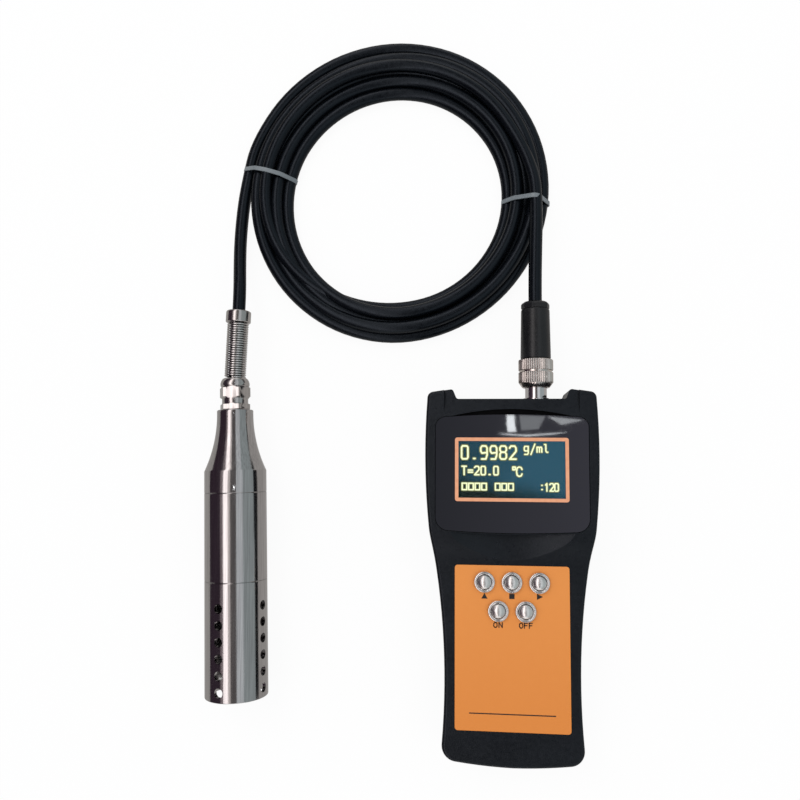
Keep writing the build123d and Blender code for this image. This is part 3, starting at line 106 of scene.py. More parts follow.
# Materials

MATERIALS = {}


class Nodes:
    """A new material, kept by its name, with helpers that add and link its nodes."""

    def __init__(self, name):
        self.material = bpy.data.materials.new(name)
        self.material.use_nodes = True
        self.tree = self.material.node_tree
        self.shader = self.tree.nodes["Principled BSDF"]
        MATERIALS[name] = self.material

    def add(self, kind, **values):
        node = self.tree.nodes.new(kind)
        for key, value in values.items():
            setattr(node, key, value)
        return node

    def link(self, source, target):
        self.tree.links.new(source, target)

    def set(self, **values):
        for key, value in values.items():
            self.shader.inputs[key.replace("_", " ")].default_value = value

    def position(self, stretch=(1, 1, 1), turn=0.0):
        """Object coordinates in millimetres, stretched for grain that runs one way."""
        coords = self.add("ShaderNodeTexCoord")
        mapping = self.add("ShaderNodeMapping")
        mapping.inputs["Scale"].default_value = [s / MM for s in stretch]
        mapping.inputs["Rotation"].default_value = (0, 0, math.radians(turn))
        self.link(coords.outputs["Object"], mapping.inputs["Vector"])
        return mapping.outputs["Vector"]

    def axis(self, vector, letter):
        """One coordinate of a place."""
        node = self.add("ShaderNodeSeparateXYZ")
        self.link(vector, node.inputs["Vector"])
        return node.outputs[letter]

    def noise(self, vector, scale, detail=2.0, rough=0.5):
        node = self.add("ShaderNodeTexNoise")
        node.inputs["Scale"].default_value = scale
        node.inputs["Detail"].default_value = detail
        node.inputs["Roughness"].default_value = rough
        self.link(vector, node.inputs["Vector"])
        return node.outputs["Fac"]

    def ramp(self, factor, stops):
        node = self.add("ShaderNodeValToRGB")
        elements = node.color_ramp.elements
        while len(elements) < len(stops):
            elements.new(0.5)
        for element, (place, colour) in zip(elements, stops):
            element.position = place
            element.color = (*colour, 1)
        self.link(factor, node.inputs["Fac"])
        return node.outputs["Color"]

    def grade(self, factor, low, high, start=0.3, end=0.7):
        """A factor's range from start to end, spread from low to high."""
        node = self.add("ShaderNodeMapRange")
        node.inputs["From Min"].default_value = start
        node.inputs["From Max"].default_value = end
        node.inputs["To Min"].default_value = low
        node.inputs["To Max"].default_value = high
        self.link(factor, node.inputs["Value"])
        return node.outputs["Result"]

    def plus_share(self, base, factor, share):
        """A value with a share of a factor added."""
        node = self.add("ShaderNodeMath", operation="MULTIPLY_ADD")
        self.link(factor, node.inputs[0])
        node.inputs[1].default_value = share
        self.link(base, node.inputs[2])
        return node.outputs["Value"]

    def colour(self, output):
        self.link(output, self.shader.inputs["Base Color"])

    def glow(self, output, strength, unlit):
        """A light that the surface gives off, and its colour without it."""
        self.link(output, self.shader.inputs["Emission Color"])
        self.set(Emission_Strength=strength, Base_Color=(*unlit, 1), Roughness=0.5)

    def roughness(self, output):
        self.link(output, self.shader.inputs["Roughness"])

    def bump(self, height, distance_mm):
        node = self.add("ShaderNodeBump")
        node.inputs["Strength"].default_value = 1.0
        node.inputs["Distance"].default_value = distance_mm * MM
        self.link(height, node.inputs["Height"])
        self.link(node.outputs["Normal"], self.shader.inputs["Normal"])


def moulded(name, dark, light, rough=0.42, grain=1.6, depth=0.012, specular=0.5, tint=(1, 1, 1)):
    """Moulded plastic: a fine sparked grain, and slow shifts of shade and gloss."""
    n = Nodes(name)
    place = n.position()
    n.colour(n.ramp(n.noise(place, 0.06, 3), [(0.3, dark), (0.7, light)]))
    n.roughness(n.grade(n.noise(place, 0.5, 3), rough - 0.06, rough + 0.08))
    n.bump(n.noise(place, grain, 2, 0.6), depth)
    n.set(Specular_IOR_Level=specular, Specular_Tint=(*tint, 1))


def metal(name, dark, light, rough, turn=0.0, along=0.02, across=1.2, depth=0.002, spread=0.04):
    """Polished metal with faint grain that runs along the piece."""
    n = Nodes(name)
    streaks = n.noise(n.position((across, along, across), -turn), 1.0, 4, 0.65)
    n.colour(n.ramp(streaks, [(0.3, dark), (0.7, light)]))
    broad = n.noise(n.position((across * 0.5, along, across * 0.5), -turn), 1.0, 3)
    n.roughness(n.grade(broad, rough - spread, rough + spread))
    n.bump(streaks, depth)
    n.set(Metallic=1.0)


def coated(name, dark, light, patch, gloss, edge=0.3, detail=3, grain=2.0, **values):
    """A smooth coat: patches of shade, and a gloss that shifts with a finer grain."""
    n = Nodes(name)
    place = n.position()
    n.colour(n.ramp(n.noise(place, patch, detail), [(edge, dark), (1 - edge, light)]))
    n.roughness(n.grade(n.noise(place, grain, 2), *gloss))
    n.set(**values)


def lit(name, low, high, unlit):
    """The display's lit strokes, or the bloom round them."""
    n = Nodes(name)
    n.glow(n.ramp(n.noise(n.position(), 1.5, 2), [(0.3, low), (0.7, high)]), 1.0, unlit)


def make_lens():
    """Smoked panel, a little lighter towards its right side."""
    n = Nodes("lens_smoke")
    place = n.position()
    across = n.grade(n.axis(place, "X"), 0.0, 1.0, -42, 42)
    n.colour(n.ramp(across, [(0.0, (0.0165, 0.0175, 0.0225)), (1.0, (0.033, 0.033, 0.042))]))
    n.roughness(n.grade(n.noise(place, 0.3, 3), 0.02, 0.035))
    n.set(Specular_IOR_Level=0.5)


def make_plate():
    """Printed film, a little lighter towards its top edge."""
    n = Nodes("plate_orange")
    place = n.position()
    upwards = n.grade(n.axis(place, "Y"), 0.0, 1.0, -82, 6)
    shade = n.plus_share(upwards, n.noise(place, 0.25, 4), 0.25)
    n.colour(n.ramp(shade, [(0.1, (0.74, 0.245, 0.045)), (1.0, (0.8, 0.285, 0.062))]))
    n.roughness(n.grade(n.noise(place, 1.5, 3), 0.38, 0.5))
    n.bump(n.noise(place, 3.0, 2), 0.003)
    n.set(Specular_IOR_Level=0.2)


def make_window():
    """Clear cover over the display, with a low index so that the readout isn't shifted."""
    n = Nodes("window_clear")
    n.set(Base_Color=(0.93, 0.98, 1, 1), Transmission_Weight=1.0, IOR=1.22)
    n.roughness(n.grade(n.noise(n.position(), 0.5, 2), 0.0, 0.02))


def make_screen():
    """The lit display behind its window: teal, darker towards the foot, with a murky patch."""
    n = Nodes("screen_teal")
    place = n.position()
    upwards = n.grade(n.axis(place, "Y"), 0.12, 0.72, 40, 52)
    slanted = n.plus_share(upwards, n.axis(place, "X"), 0.012)
    murk = n.plus_share(slanted, n.noise(place, 0.09, 4, 0.6), 0.42)
    tint = n.ramp(murk, [
        (0.32, (0.004, 0.014, 0.01)), (0.5, (0.008, 0.045, 0.06)), (0.7, (0.016, 0.083, 0.125)),
        (0.98, (0.03, 0.13, 0.2))])
    n.glow(tint, 0.62, (0.002, 0.003, 0.004))
    n.set(Specular_IOR_Level=0.05)


HOUSING_DARK = (0.0022, 0.003, 0.0045)
HOUSING_LIGHT = (0.0045, 0.0056, 0.0076)
COOL = (0.82, 0.9, 1.0)
BLACK_LOW = (0.012, 0.012, 0.012)
BLACK_HIGH = (0.02, 0.02, 0.02)

moulded("housing_black", HOUSING_DARK, HOUSING_LIGHT, rough=0.33, grain=1.7, depth=0.09, specular=0.3,
        tint=COOL)
moulded("housing_back", HOUSING_DARK, HOUSING_LIGHT, rough=0.4, depth=0.05, specular=0.32, tint=COOL)
moulded("door_black", HOUSING_DARK, HOUSING_LIGHT, rough=0.44, depth=0.02, specular=0.35)
moulded("plug_black", (0.006, 0.0065, 0.0075), (0.009, 0.0095, 0.011), rough=0.3, grain=2.2, depth=0.004,
        specular=0.4)
moulded("button_black", BLACK_HIGH, (0.03, 0.03, 0.03))
moulded("insert_black", BLACK_LOW, BLACK_HIGH, rough=0.5)
moulded("gasket_rubber", (0.012, 0.012, 0.013), BLACK_HIGH, rough=0.7, grain=3.0, depth=0.01, specular=0.3)
moulded("cable_black", (0.0012, 0.0018, 0.003), (0.0026, 0.0034, 0.005), rough=0.27, grain=1.2, depth=0.006,
        specular=0.28, tint=(0.72, 0.85, 1.0))
moulded("tie_grey", (0.14, 0.165, 0.18), (0.19, 0.215, 0.23), grain=2.0, depth=0.004)
# A near-black coat for the strip in the crescent slot: painted shadow
moulded("shadow_black", (0.0012, 0.0012, 0.0015), (0.0022, 0.0022, 0.0026), rough=0.85, grain=3.0, depth=0.02,
        specular=0.05)
moulded("chip_black", BLACK_LOW, (0.022, 0.022, 0.022), rough=0.5)
metal("probe_steel", (0.4, 0.385, 0.385), (0.56, 0.545, 0.54), rough=0.13, turn=PROBE_TURN)
metal("fork_steel", (0.42, 0.42, 0.42), (0.6, 0.6, 0.6), rough=0.25, turn=PROBE_TURN)
metal("gland_nickel", (0.44, 0.42, 0.41), (0.6, 0.575, 0.56), rough=0.16, turn=PROBE_TURN)
metal("nickel", (0.62, 0.56, 0.52), (0.8, 0.74, 0.7), rough=0.2, along=0.05, across=0.8)
metal("socket_steel", (0.62, 0.6, 0.6), (0.78, 0.76, 0.76), rough=0.09)
metal("spring_steel", (0.5, 0.49, 0.48), (0.7, 0.68, 0.67), rough=0.2, along=0.5, across=0.5)
metal("screw_steel", (0.2, 0.2, 0.2), (0.34, 0.34, 0.34), rough=0.3, along=0.5, across=0.5)
metal("contact_nickel", (0.45, 0.45, 0.44), (0.62, 0.62, 0.6), rough=0.25, along=0.5, across=0.5)
metal("pin_gold", (0.7, 0.48, 0.16), (0.85, 0.62, 0.25), rough=0.2, along=0.5, across=0.5)
metal("chrome", (0.74, 0.72, 0.71), (0.86, 0.84, 0.82), rough=0.2, along=0.25, across=0.25, depth=0.001,
      spread=0.03)
metal("dome_chrome", (0.78, 0.76, 0.74), (0.9, 0.88, 0.86), rough=0.3, along=0.25, across=0.25, depth=0.001,
      spread=0.03)
coated("frame_print", (0.78, 0.335, 0.175), (0.86, 0.4, 0.225), patch=0.35, gloss=(0.4, 0.5),
       Specular_IOR_Level=0.25)
coated("print_black", (0.006, 0.004, 0.003), (0.012, 0.008, 0.006), patch=2.0, gloss=(0.4, 0.5), detail=2)
coated("board_green", (0.01, 0.07, 0.03), (0.02, 0.12, 0.05), patch=0.4, gloss=(0.25, 0.4), edge=0.35,
       detail=4, grain=1.0)
coated("cell_label", (0.09, 0.1, 0.12), (0.13, 0.14, 0.16), patch=0.2, gloss=(0.25, 0.35), edge=0.35,
       grain=1.0, Metallic=0.4)
coated("piezo_ceramic", (0.5, 0.47, 0.38), (0.62, 0.6, 0.5), patch=1.0, gloss=(0.3, 0.45), edge=0.35)
lit("lit_ink", (1.0, 1.0, 0.55), (1.0, 1.0, 0.7), (0.05, 0.05, 0.03))
lit("lit_glow", (0.13, 0.14, 0.03), (0.2, 0.2, 0.045), (0.02, 0.03, 0.01))
make_lens()
make_plate()
make_window()
make_screen()

for entry in frame["record"]["subparts"]:
    node = frame["nodes"][entry["node"]]
    for slot in node.material_slots:
        slot.material = MATERIALS[entry["material_slot"]]


# Mesh helpers

def add_object(name, data):
    """A new object in the scene."""
    thing = bpy.data.objects.new(name, data)
    bpy.context.scene.collection.objects.link(thing)
    return thing


def outward_mesh(name, points, faces):
    """A mesh from points in millimetres, with its faces turned outwards."""
    mesh = bpy.data.meshes.new(name)
    mesh.from_pydata([Vector(point) * MM for point in points], [], faces)
    mesh.validate()
    work = bmesh.new()
    work.from_mesh(mesh)
    bmesh.ops.recalc_face_normals(work, faces=work.faces)
    work.to_mesh(mesh)
    work.free()
    return mesh


def smooth(mesh, sharp):
    """Smooth shading, apart from edges sharper than an angle."""
    mesh.shade_smooth()
    mesh.set_sharp_from_angle(angle=math.radians(sharp))


def mesh_piece(name, points, faces, slot, body, sharp=35.0, material=None):
    """A piece in its slot's material, unless another is named, riding on a body."""
    mesh = outward_mesh(name, points, faces)
    smooth(mesh, sharp)
    piece = add_object(name, mesh)
    mesh.materials.append(MATERIALS[material or slot])
    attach(piece, body)
    return piece


def rounded(corners, steps=4):
    """A profile with its corners rounded: each corner is (radius, station, rounding)."""
    line = []
    for index, (r, s, size) in enumerate(corners):
        here = Vector((r, s))
        if size == 0 or index in (0, len(corners) - 1):
            line.append((r, s))
            continue
        before = Vector(corners[index - 1][:2]) - here
        after = Vector(corners[index + 1][:2]) - here
        reach = min(size, before.length / 2, after.length / 2)
        start = here + before.normalized() * reach
        end = here + after.normalized() * reach
        for step in range(steps + 1):
            t = step / steps
            point = start * (1 - t) ** 2 + here * 2 * t * (1 - t) + end * t**2
            line.append((point.x, point.y))
    return line


def angles(steps):
    """Even steps round a full turn."""
    return [2 * math.pi * step / steps for step in range(steps)]


def around(radius, station, angle):
    """A point about the local Y axis, at an angle from the local Z axis."""
    return (radius * math.sin(angle), station, radius * math.cos(angle))


def skin(rings, closed=False):
    """Points and faces of a skin over rings of points. A ring of one point is a pole."""
    points = []
    numbers = []
    for ring in rings:
        numbers.append(range(len(points), len(points) + len(ring)))
        points.extend(ring)
    following = numbers[1:] + (numbers[:1] if closed else [])
    faces = []
    for low, high in zip(numbers, following):
        for step in range(max(len(low), len(high))):
            here = (low[step % len(low)], high[step % len(high)])
            after = (high[(step + 1) % len(high)], low[(step + 1) % len(low)])
            faces.append(tuple(dict.fromkeys(here + after)))
    return points, faces


def turned(profile, steps=96):
    """Points and faces of a profile spun about the local Y axis."""
    rings = []
    for r, s in profile:
        rings.append([around(r, s, angle) for angle in angles(steps)] if r > 0 else [(0, s, 0)])
    return skin(rings)


def placed(matrix, shape):
    """Points and faces moved into a frame."""
    points, faces = shape
    return [matrix @ Vector(point) for point in points], faces


def lathe(name, matrix, profile, slot, body, steps=96, sharp=35.0, material=None):
    """A turned piece about a frame's Y axis."""
    return mesh_piece(name, *placed(matrix, turned(profile, steps)), slot, body, sharp, material)


def joined(parts):
    """Several point and face lists as one."""
    points = []
    faces = []
    for some_points, some_faces in parts:
        first = len(points)
        points.extend(some_points)
        faces.extend([tuple(first + index for index in face) for face in some_faces])
    return points, faces


def cut_with(piece, cutters):
    """Subtract closed meshes, given as points and faces in millimetres, from a piece."""
    cutter = add_object("cutter", outward_mesh("cutter", *joined(cutters)))
    modifier = piece.modifiers.new("cut", "BOOLEAN")
    modifier.operation = "DIFFERENCE"
    modifier.solver = "EXACT"
    modifier.use_self = True
    modifier.object = cutter
    depsgraph = bpy.context.evaluated_depsgraph_get()
    depsgraph.update()
    baked = bpy.data.meshes.new_from_object(piece.evaluated_get(depsgraph))
    piece.modifiers.clear()
    piece.data = baked
    bpy.data.objects.remove(cutter)


# Camera

camera_data = bpy.data.cameras.new("camera")
camera_data.sensor_width = 36
camera_data.lens = CAMERA_LENS
camera_data.clip_end = 100
camera = add_object("camera", camera_data)
camera.location = (CAMERA_X * MM, CAMERA_Y * MM, CAMERA_Z * MM)
camera.rotation_euler = [math.radians(turn) for turn in CAMERA_TURNS]
bpy.context.scene.camera = camera
bpy.context.scene.view_settings.view_transform = "Standard"


# Cord: from the bend relief down to the table, five and a half times round the coil, and up to the plug

COIL_MIDDLE = Vector((-67.5, 220.0))
OUTER_MIDDLE = Vector((-68.5, 222.9))
OUTER_R = 93.2
INNER_MIDDLE = Vector((-66.2, 217.3))
INNER_R = 62.9
LOW_Z = 3.85
HIGH_Z = 10.1

# The drawn line runs a little inside its points, so each point lies this many times as far out as its lane
LINE_SWELL = 1.0145
POINTS_PER_TURN = 16
COIL_TURNS = 5.5
LANE_REACHES = (1.0, 0.75, 0.5, 0.25, 0.0, 0.52)
LANE_CHANGE = 0.72
LANE_WANDER = 0.02
STRAND_PRESS = 0.2

# The tails' points are given one by one
PROBE_TAIL = [
    (-157.41, 147.4, 17.5), (-157.08, 158.7, 17.5), (-159.9, 176.0, 10.2), (-161.6, 194.0, 5.2),
    (-160.6, 216.0, LOW_Z), (-157.9, 233.0, LOW_Z),
]
METER_TAIL = [
    (14.8, 227.0, 13.2), (15.7, 212.0, 14.6), (15.5, 197.0, 16.8), (14.9, 181.0, 18.0),
    (PLUG_X, 161.2, PLUG_Z), (PLUG_X, 150.2, PLUG_Z),
]


def ring_radius(direction, centre, radius):
    """How far the ray from the coil's middle runs to a circle."""
    start = COIL_MIDDLE - centre
    along = start.dot(direction)
    return -along + math.sqrt(along**2 - start.length_squared + radius**2)


def coil_point(angle, reach, height, swell=1.0):
    """A point of the coil at an angle: reach runs from 0 at its innermost lane to 1 at its outermost."""
    direction = Vector((math.cos(angle), math.sin(angle)))
    outer = ring_radius(direction, OUTER_MIDDLE, OUTER_R)
    inner = ring_radius(direction, INNER_MIDDLE, INNER_R)
    lanes = outer - inner - CABLE_D
    radius = (outer - CABLE_D / 2 - (1 - reach) * lanes) * swell
    return Vector((*(COIL_MIDDLE + direction * radius), height))


def lane_rise(angle):
    """How far every second lane rides up on its neighbours where the coil is too narrow for all of them."""
    lanes = (coil_point(angle, 1, 0) - coil_point(angle, 0, 0)).length
    return math.sqrt(max(0, (CABLE_D - STRAND_PRESS) ** 2 - (lanes / 4) ** 2))


def coil_turns():
    """The coil's points: clockwise from the left side, five turns inwards, then half a turn on top."""
    points = []
    for index in range(1, int(COIL_TURNS * POINTS_PER_TURN)):
        done = index / POINTS_PER_TURN
        angle = math.pi - done * 2 * math.pi
        raised = LOW_Z + lane_rise(angle)
        heights = (LOW_Z, raised, LOW_Z, raised, LOW_Z, HIGH_Z)
        turn = int(done)
        following = min(turn + 1, len(heights) - 1)
        step = max(0, (done - turn - LANE_CHANGE) / (1 - LANE_CHANGE))
        step = step * step * (3 - 2 * step)
        reach = LANE_REACHES[turn] + (LANE_REACHES[following] - LANE_REACHES[turn]) * step
        height = heights[turn] + (heights[following] - heights[turn]) * step
        reach += LANE_WANDER * noise.noise(Vector((index * 0.37, 1.7, 0.3)))
        points.append(coil_point(angle, min(1.0, max(0.0, reach)), height, LINE_SWELL))
    return points


def make_cord(name, points):
    """The round cable along a smooth line that its points pull into shape."""
    data = bpy.data.curves.new(name, "CURVE")
    data.dimensions = "3D"
    data.bevel_depth = CABLE_D / 2 * MM
    data.bevel_resolution = 6
    data.resolution_u = 6
    data.use_fill_caps = True
    spline = data.splines.new("NURBS")
    spline.points.add(len(points) - 1)
    for point, place in zip(spline.points, points):
        point.co = (*(Vector(place) * MM), 1)
    spline.order_u = 3
    spline.use_endpoint_u = True
    data.materials.append(MATERIALS["cable_black"])
    return add_object(name, data)


cord = make_cord("lead_cable", PROBE_TAIL + coil_turns() + METER_TAIL)
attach(cord, "lead")
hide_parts("cable_coil", "cable_tail_probe", "cable_tail_meter")


# Probe

SPIGOT_END = -9
HEAD_NECK = 45.0
HEAD_NECK_R = 10.3
TUBE_BORE_R = 15.5
SPIGOT_R = 15.4
GUARD_COLUMNS = 4
GUARD_ROWS = 6
GUARD_ROLL = -16
FIRST_HOLE = -62.7
HOLE_PITCH = 8.94
HOLE_R = 2.6
DRILL_FROM = 12.0
DRILL_TO = 20.0
PROBE_STEPS = 160
PROBE_SHARP = 28


def steel_sleeve(node, profile, drills=()):
    """A turned piece of the probe's outside, with any drills taken out of its wall."""
    piece = lathe(node + "_turned", PROBE, profile, "probe_steel", "lead", PROBE_STEPS, PROBE_SHARP)
    if drills:
        cut_with(piece, drills)
        smooth(piece.data, PROBE_SHARP)
    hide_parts(node)


def head_profile():
    """The turned head: a straight collar, a hollow sweep and a small bevelled top."""
    profile = [(SPIGOT_R, SPIGOT_END), (SPIGOT_R, SEAM_GAP), (17.22, SEAM_GAP), (17.36, 0.06),
               (PROBE_R, 0.25), (PROBE_R, HEAD_SHOULDER)]
    run = HEAD_NECK - HEAD_SHOULDER
    flare = PROBE_R - HEAD_NECK_R
    sweep_r = (run**2 + flare**2) / (2 * flare)
    steps = 40
    for step in range(1, steps + 1):
        s = HEAD_SHOULDER + run * step / steps
        profile.append((HEAD_NECK_R + sweep_r - math.sqrt(sweep_r**2 - (HEAD_NECK - s) ** 2), s))
    return profile + [(HEAD_NECK_R, 46.75), (10.2, 46.95), (9.85, HEAD_TOP), (6.0, HEAD_TOP)]


def tube_profile(start, end):
    """A tube's closed profile with small bevels at its ends."""
    return [(TUBE_BORE_R, start), (TUBE_BORE_R, end), (17.2, end), (17.38, end - 0.08), (PROBE_R, end - 0.3),
            (PROBE_R, start + 0.3), (17.38, start + 0.08), (17.2, start), (TUBE_BORE_R, start)]


def guard_drills():
    """Round bars through the guard's wall: four rows of six."""
    bar = turned([(0, DRILL_FROM), (HOLE_R, DRILL_FROM), (HOLE_R, DRILL_TO), (0, DRILL_TO)], 28)
    bars = []
    for column in range(GUARD_COLUMNS):
        roll = Matrix.Rotation(math.radians(GUARD_ROLL + 360 / GUARD_COLUMNS * column), 4, "Y")
        for row in range(GUARD_ROWS):
            station = Matrix.Translation((0, FIRST_HOLE - HOLE_PITCH * row, 0))
            bars.append(placed(PROBE @ station @ roll @ upright_frame(0, 0), bar))
    return bars


steel_sleeve("probe_head", head_profile())
steel_sleeve("probe_tube", tube_profile(GUARD_SEAM + SEAM_GAP, -SEAM_GAP))
steel_sleeve("fork_guard", tube_profile(GUARD_END, GUARD_SEAM - SEAM_GAP), guard_drills())


# Cable gland, bend relief and cap

BODY_FLATS = 15.4
NUT_FLATS = 15.8
CORNER_STEP = 0.15


def hexagon(flats, start, end, bevel, steps=60):
    """A six-sided nut whose corners are turned down at both ends, as points and faces."""
    flat_r = flats / 2
    face_r = flat_r - CORNER_STEP
    corner_r = flat_r / math.cos(math.radians(30)) - 0.02
    stations = [(0.001, start), (face_r, start), (corner_r, start + bevel), (corner_r, end - bevel),
                (face_r, end), (0.001, end)]
    rings = []
    for limit, s in stations:
        ring = []
        for angle in angles(steps):
            r = min(flat_r / math.cos(angle % (math.pi / 3) - math.pi / 6), limit)
            ring.append((r * math.cos(angle), s, r * math.sin(angle)))
        rings.append(ring)
    return skin(rings)


def gland():
    """The gland's body with its neck, and its nut with a domed top."""
    neck = turned([(5.9, HEAD_TOP + 0.1), (7.45, 50.9), (7.45, GLAND_NUT_START)])
    body = placed(PROBE, joined([hexagon(BODY_FLATS, HEAD_TOP, 51.0, 0.5), neck]))
    piece = mesh_piece("gland_body_turned", *body, "gland_nickel", "lead", 30)
    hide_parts("gland_body")
    dome = turned([(7.3, 60.6), (7.9, 60.85), (8.25, 61.3), (8.35, 62.0), (8.28, 62.9), (8.0, 63.9),
                   (7.55, 64.8), (7.0, 65.5), (6.4, 65.85), (6.0, RELIEF_START), (5.2, RELIEF_START),
                   (4.9, 65.4), (4.9, 62.0)])
    nut = placed(PROBE, joined([hexagon(NUT_FLATS, GLAND_NUT_START, 60.9, 0.9), dome]))
    piece = mesh_piece("gland_nut_turned", *nut, "gland_nickel", "lead", 32)
    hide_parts("gland_nut")


def relief_cap():
    """The rounded cap over the end of the bend relief."""
    profile = rounded([(3.9, 33.0, 0), (4.6, 32.85, 0), (6.9, 32.85, 0), (7.2, 33.15, 0.2), (7.2, 39.75, 2.4),
                       (4.4, 39.75, 0.3), (3.85, 39.2, 0), (3.85, 36.0, 0)], 6)
    piece = lathe("spring_cap_turned", RELIEF, profile, "gland_nickel", "lead", 96, 32)
    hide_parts("spring_cap")


WIRE_TURNS = 24
WIRE_R = 0.53
WINDING_R = 6.2
WINDING_START = -0.2
WINDING_END = 33.35


def bend_relief():
    """The close-wound wire."""
    per_turn = 40
    count = WIRE_TURNS * per_turn
    run = WINDING_END - WINDING_START - 2 * WIRE_R
    rings = []
    for index in range(count + 1):
        angle = 2 * math.pi * index / per_turn
        s = WINDING_START + WIRE_R + run * index / count
        ring = []
        for tilt in angles(8):
            r = WINDING_R - WIRE_R + WIRE_R * math.cos(tilt)
            ring.append(around(r, s + WIRE_R * math.sin(tilt), angle))
        rings.append(ring)
    piece = mesh_piece("bend_relief_wound", *placed(RELIEF, skin(rings)), "spring_steel", "lead", 60)
    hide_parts("strain_spring")


gland()
relief_cap()
bend_relief()


# Socket and plug

KNURL_FLUTES = 46
KNURL_DEPTH = 0.34
KNURL_R = 9.6
GROOVE_R = 8.95
CLAMP_SIDES = 10


def socket():
    """The panel socket's shell, with its collar."""
    profile = rounded([(4.8, 84.5, 0), (5.95, 84.5, 0), (5.95, 95.0, 0), (7.0, 95.0, 0.1), (7.0, 95.8, 0.15),
                       (5.95, 95.8, 0.1), (5.95, 107.4, 0.3), (4.8, 107.5, 0)])
    piece = lathe("socket_body_turned", PLUG, profile, "socket_steel", "meter")
    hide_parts("socket_body")


def coupling_nut():
    """The bright nut: two knurled bands with a dark groove, a chamfered mouth and a shoulder."""
    per_flute = 6
    profile = [(6.3, 101.9, False), (7.4, 101.8, False), (7.62, 101.95, False), (8.3, 102.9, False),
               (9.15, 104.05, False), (9.3, 104.25, True), (KNURL_R, 104.6, True), (KNURL_R, 110.0, True),
               (9.4, 110.3, True), (GROOVE_R, 110.42, False), (GROOVE_R, 111.2, False), (9.4, 111.32, True),
               (KNURL_R, 111.6, True), (KNURL_R, 116.9, True), (9.35, 117.3, True), (8.9, 117.5, False),
               (6.8, 117.5, False)]
    rings = []
    for r, s, knurled in profile:
        ring = []
        for step, angle in enumerate(angles(KNURL_FLUTES * per_flute)):
            crest = math.sin(math.pi * (step % per_flute) / per_flute)
            ring.append(around(r - KNURL_DEPTH * (1 - crest) if knurled else r, s, angle))
        rings.append(ring)
    piece = mesh_piece("coupling_nut_knurled", *placed(PLUG, skin(rings)), "nickel", "coupling_nut", 40)
    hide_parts("coupling_nut")


def plug():
    """The plug's black body, which narrows towards the cable."""
    profile = rounded([(6.45, 111.6, 0), (6.45, 117.75, 0), (7.9, 117.75, 0.2), (8.4, 118.3, 0.5),
                       (7.92, 145.5, 0.6), (7.3, 146.1, 0), (3.8, 146.1, 0)], 5)
    piece = lathe("plug_body_turned", PLUG, profile, "plug_black", "lead", 128)
    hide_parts("plug_body")


def clamp_nut():
    """The nut behind the plug: a band of flats with turned ends."""
    profile = [(6.9, 146.0, False), (7.5, 146.2, False), (7.9, 146.6, True), (7.9, 148.6, True),
               (7.4, 149.5, True), (6.3, 150.1, False), (4.4, 150.35, False), (3.9, 150.0, False),
               (3.8, 148.0, False)]
    half_side = math.pi / CLAMP_SIDES
    rings = []
    for r, s, faceted in profile:
        ring = []
        for angle in angles(CLAMP_SIDES * 8):
            inside = (angle + half_side) % (2 * half_side) - half_side
            flat_r = r * math.cos(half_side) / math.cos(inside)
            ring.append(around(flat_r if faceted else r, s, angle))
        rings.append(ring)
    piece = mesh_piece("plug_clamp_nut_turned", *placed(PLUG, skin(rings)), "plug_black", "lead", 16)
    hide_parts("plug_clamp_nut")


socket()
coupling_nut()
plug()
clamp_nut()


# Coil ties: flat bands pulled round the bundle

TIE_WIDTH = 2.65
TIE_PROUD = 0.3
TIE_INSIDE = -0.5
TIE_BEVEL = 0.2
TIE_SLACK = 0.12
TIE_LOWEST = 0.02


def cross(a, b, c):
    """Above zero where the way from a over b to c turns left."""
    return (b[0] - a[0]) * (c[1] - a[1]) - (b[1] - a[1]) * (c[0] - a[0])


def hull(spots):
    """The convex outline round a set of flat points."""
    spots = sorted(set(spots))
    outline = []
    for run in (spots, spots[::-1]):
        chain = []
        for spot in run:
            while len(chain) > 1 and cross(chain[-2], chain[-1], spot) <= 0:
                chain.pop()
            chain.append(spot)
        outline += chain[:-1]
    return outline


def band_outline(strands):
    """The outline pulled tight round strands, each given by its place across the band and its height."""
    grip = CABLE_D / 2 + TIE_SLACK
    spots = []
    for u, z in strands:
        for angle in angles(24):
            spots.append((round(u + grip * math.cos(angle), 4), round(z + grip * math.sin(angle), 4)))
    return hull(spots)


def tie(name, node, spot, turn, upper):
    """A band drawn tight round the strands at a place, with the reaches of the upper strands given."""
    outward = Vector(spot) - COIL_MIDDLE
    angle = math.atan2(outward.y, outward.x)
    inner = coil_point(angle, 0, 0).to_2d()
    outer = coil_point(angle, 1, 0).to_2d()
    hub = (outer + inner) / 2
    half_span = (outer - inner).length / 2
    across = Matrix.Rotation(math.radians(turn), 2) @ Vector((1, 0))
    side = 1 if across.dot(outward) > 0 else -1
    strands = [(-half_span, LOW_Z), (half_span, LOW_Z)]
    strands += [(side * (2 * reach - 1) * half_span, z) for reach, z in upper]
    outline = band_outline(strands)
    along = Vector((-across.y, across.x))
    half = TIE_WIDTH / 2
    rim = half - TIE_BEVEL
    rings = []
    for offset, proud in ((-half, 0), (-rim, TIE_PROUD), (rim, TIE_PROUD), (half, 0), (rim, TIE_INSIDE),
                          (-rim, TIE_INSIDE)):
        ring = []
        for step, (u, z) in enumerate(outline):
            before = Vector(outline[step - 1])
            after = Vector(outline[(step + 1) % len(outline)])
            tangent = (after - before).normalized()
            place = hub + across * (u + tangent.y * proud) + along * offset
            ring.append((*place, max(TIE_LOWEST, z - tangent.x * proud)))
        rings.append(ring)
    piece = mesh_piece(name, *skin(rings, closed=True), "tie_grey", "lead", 40)
    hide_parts(node)
    return piece


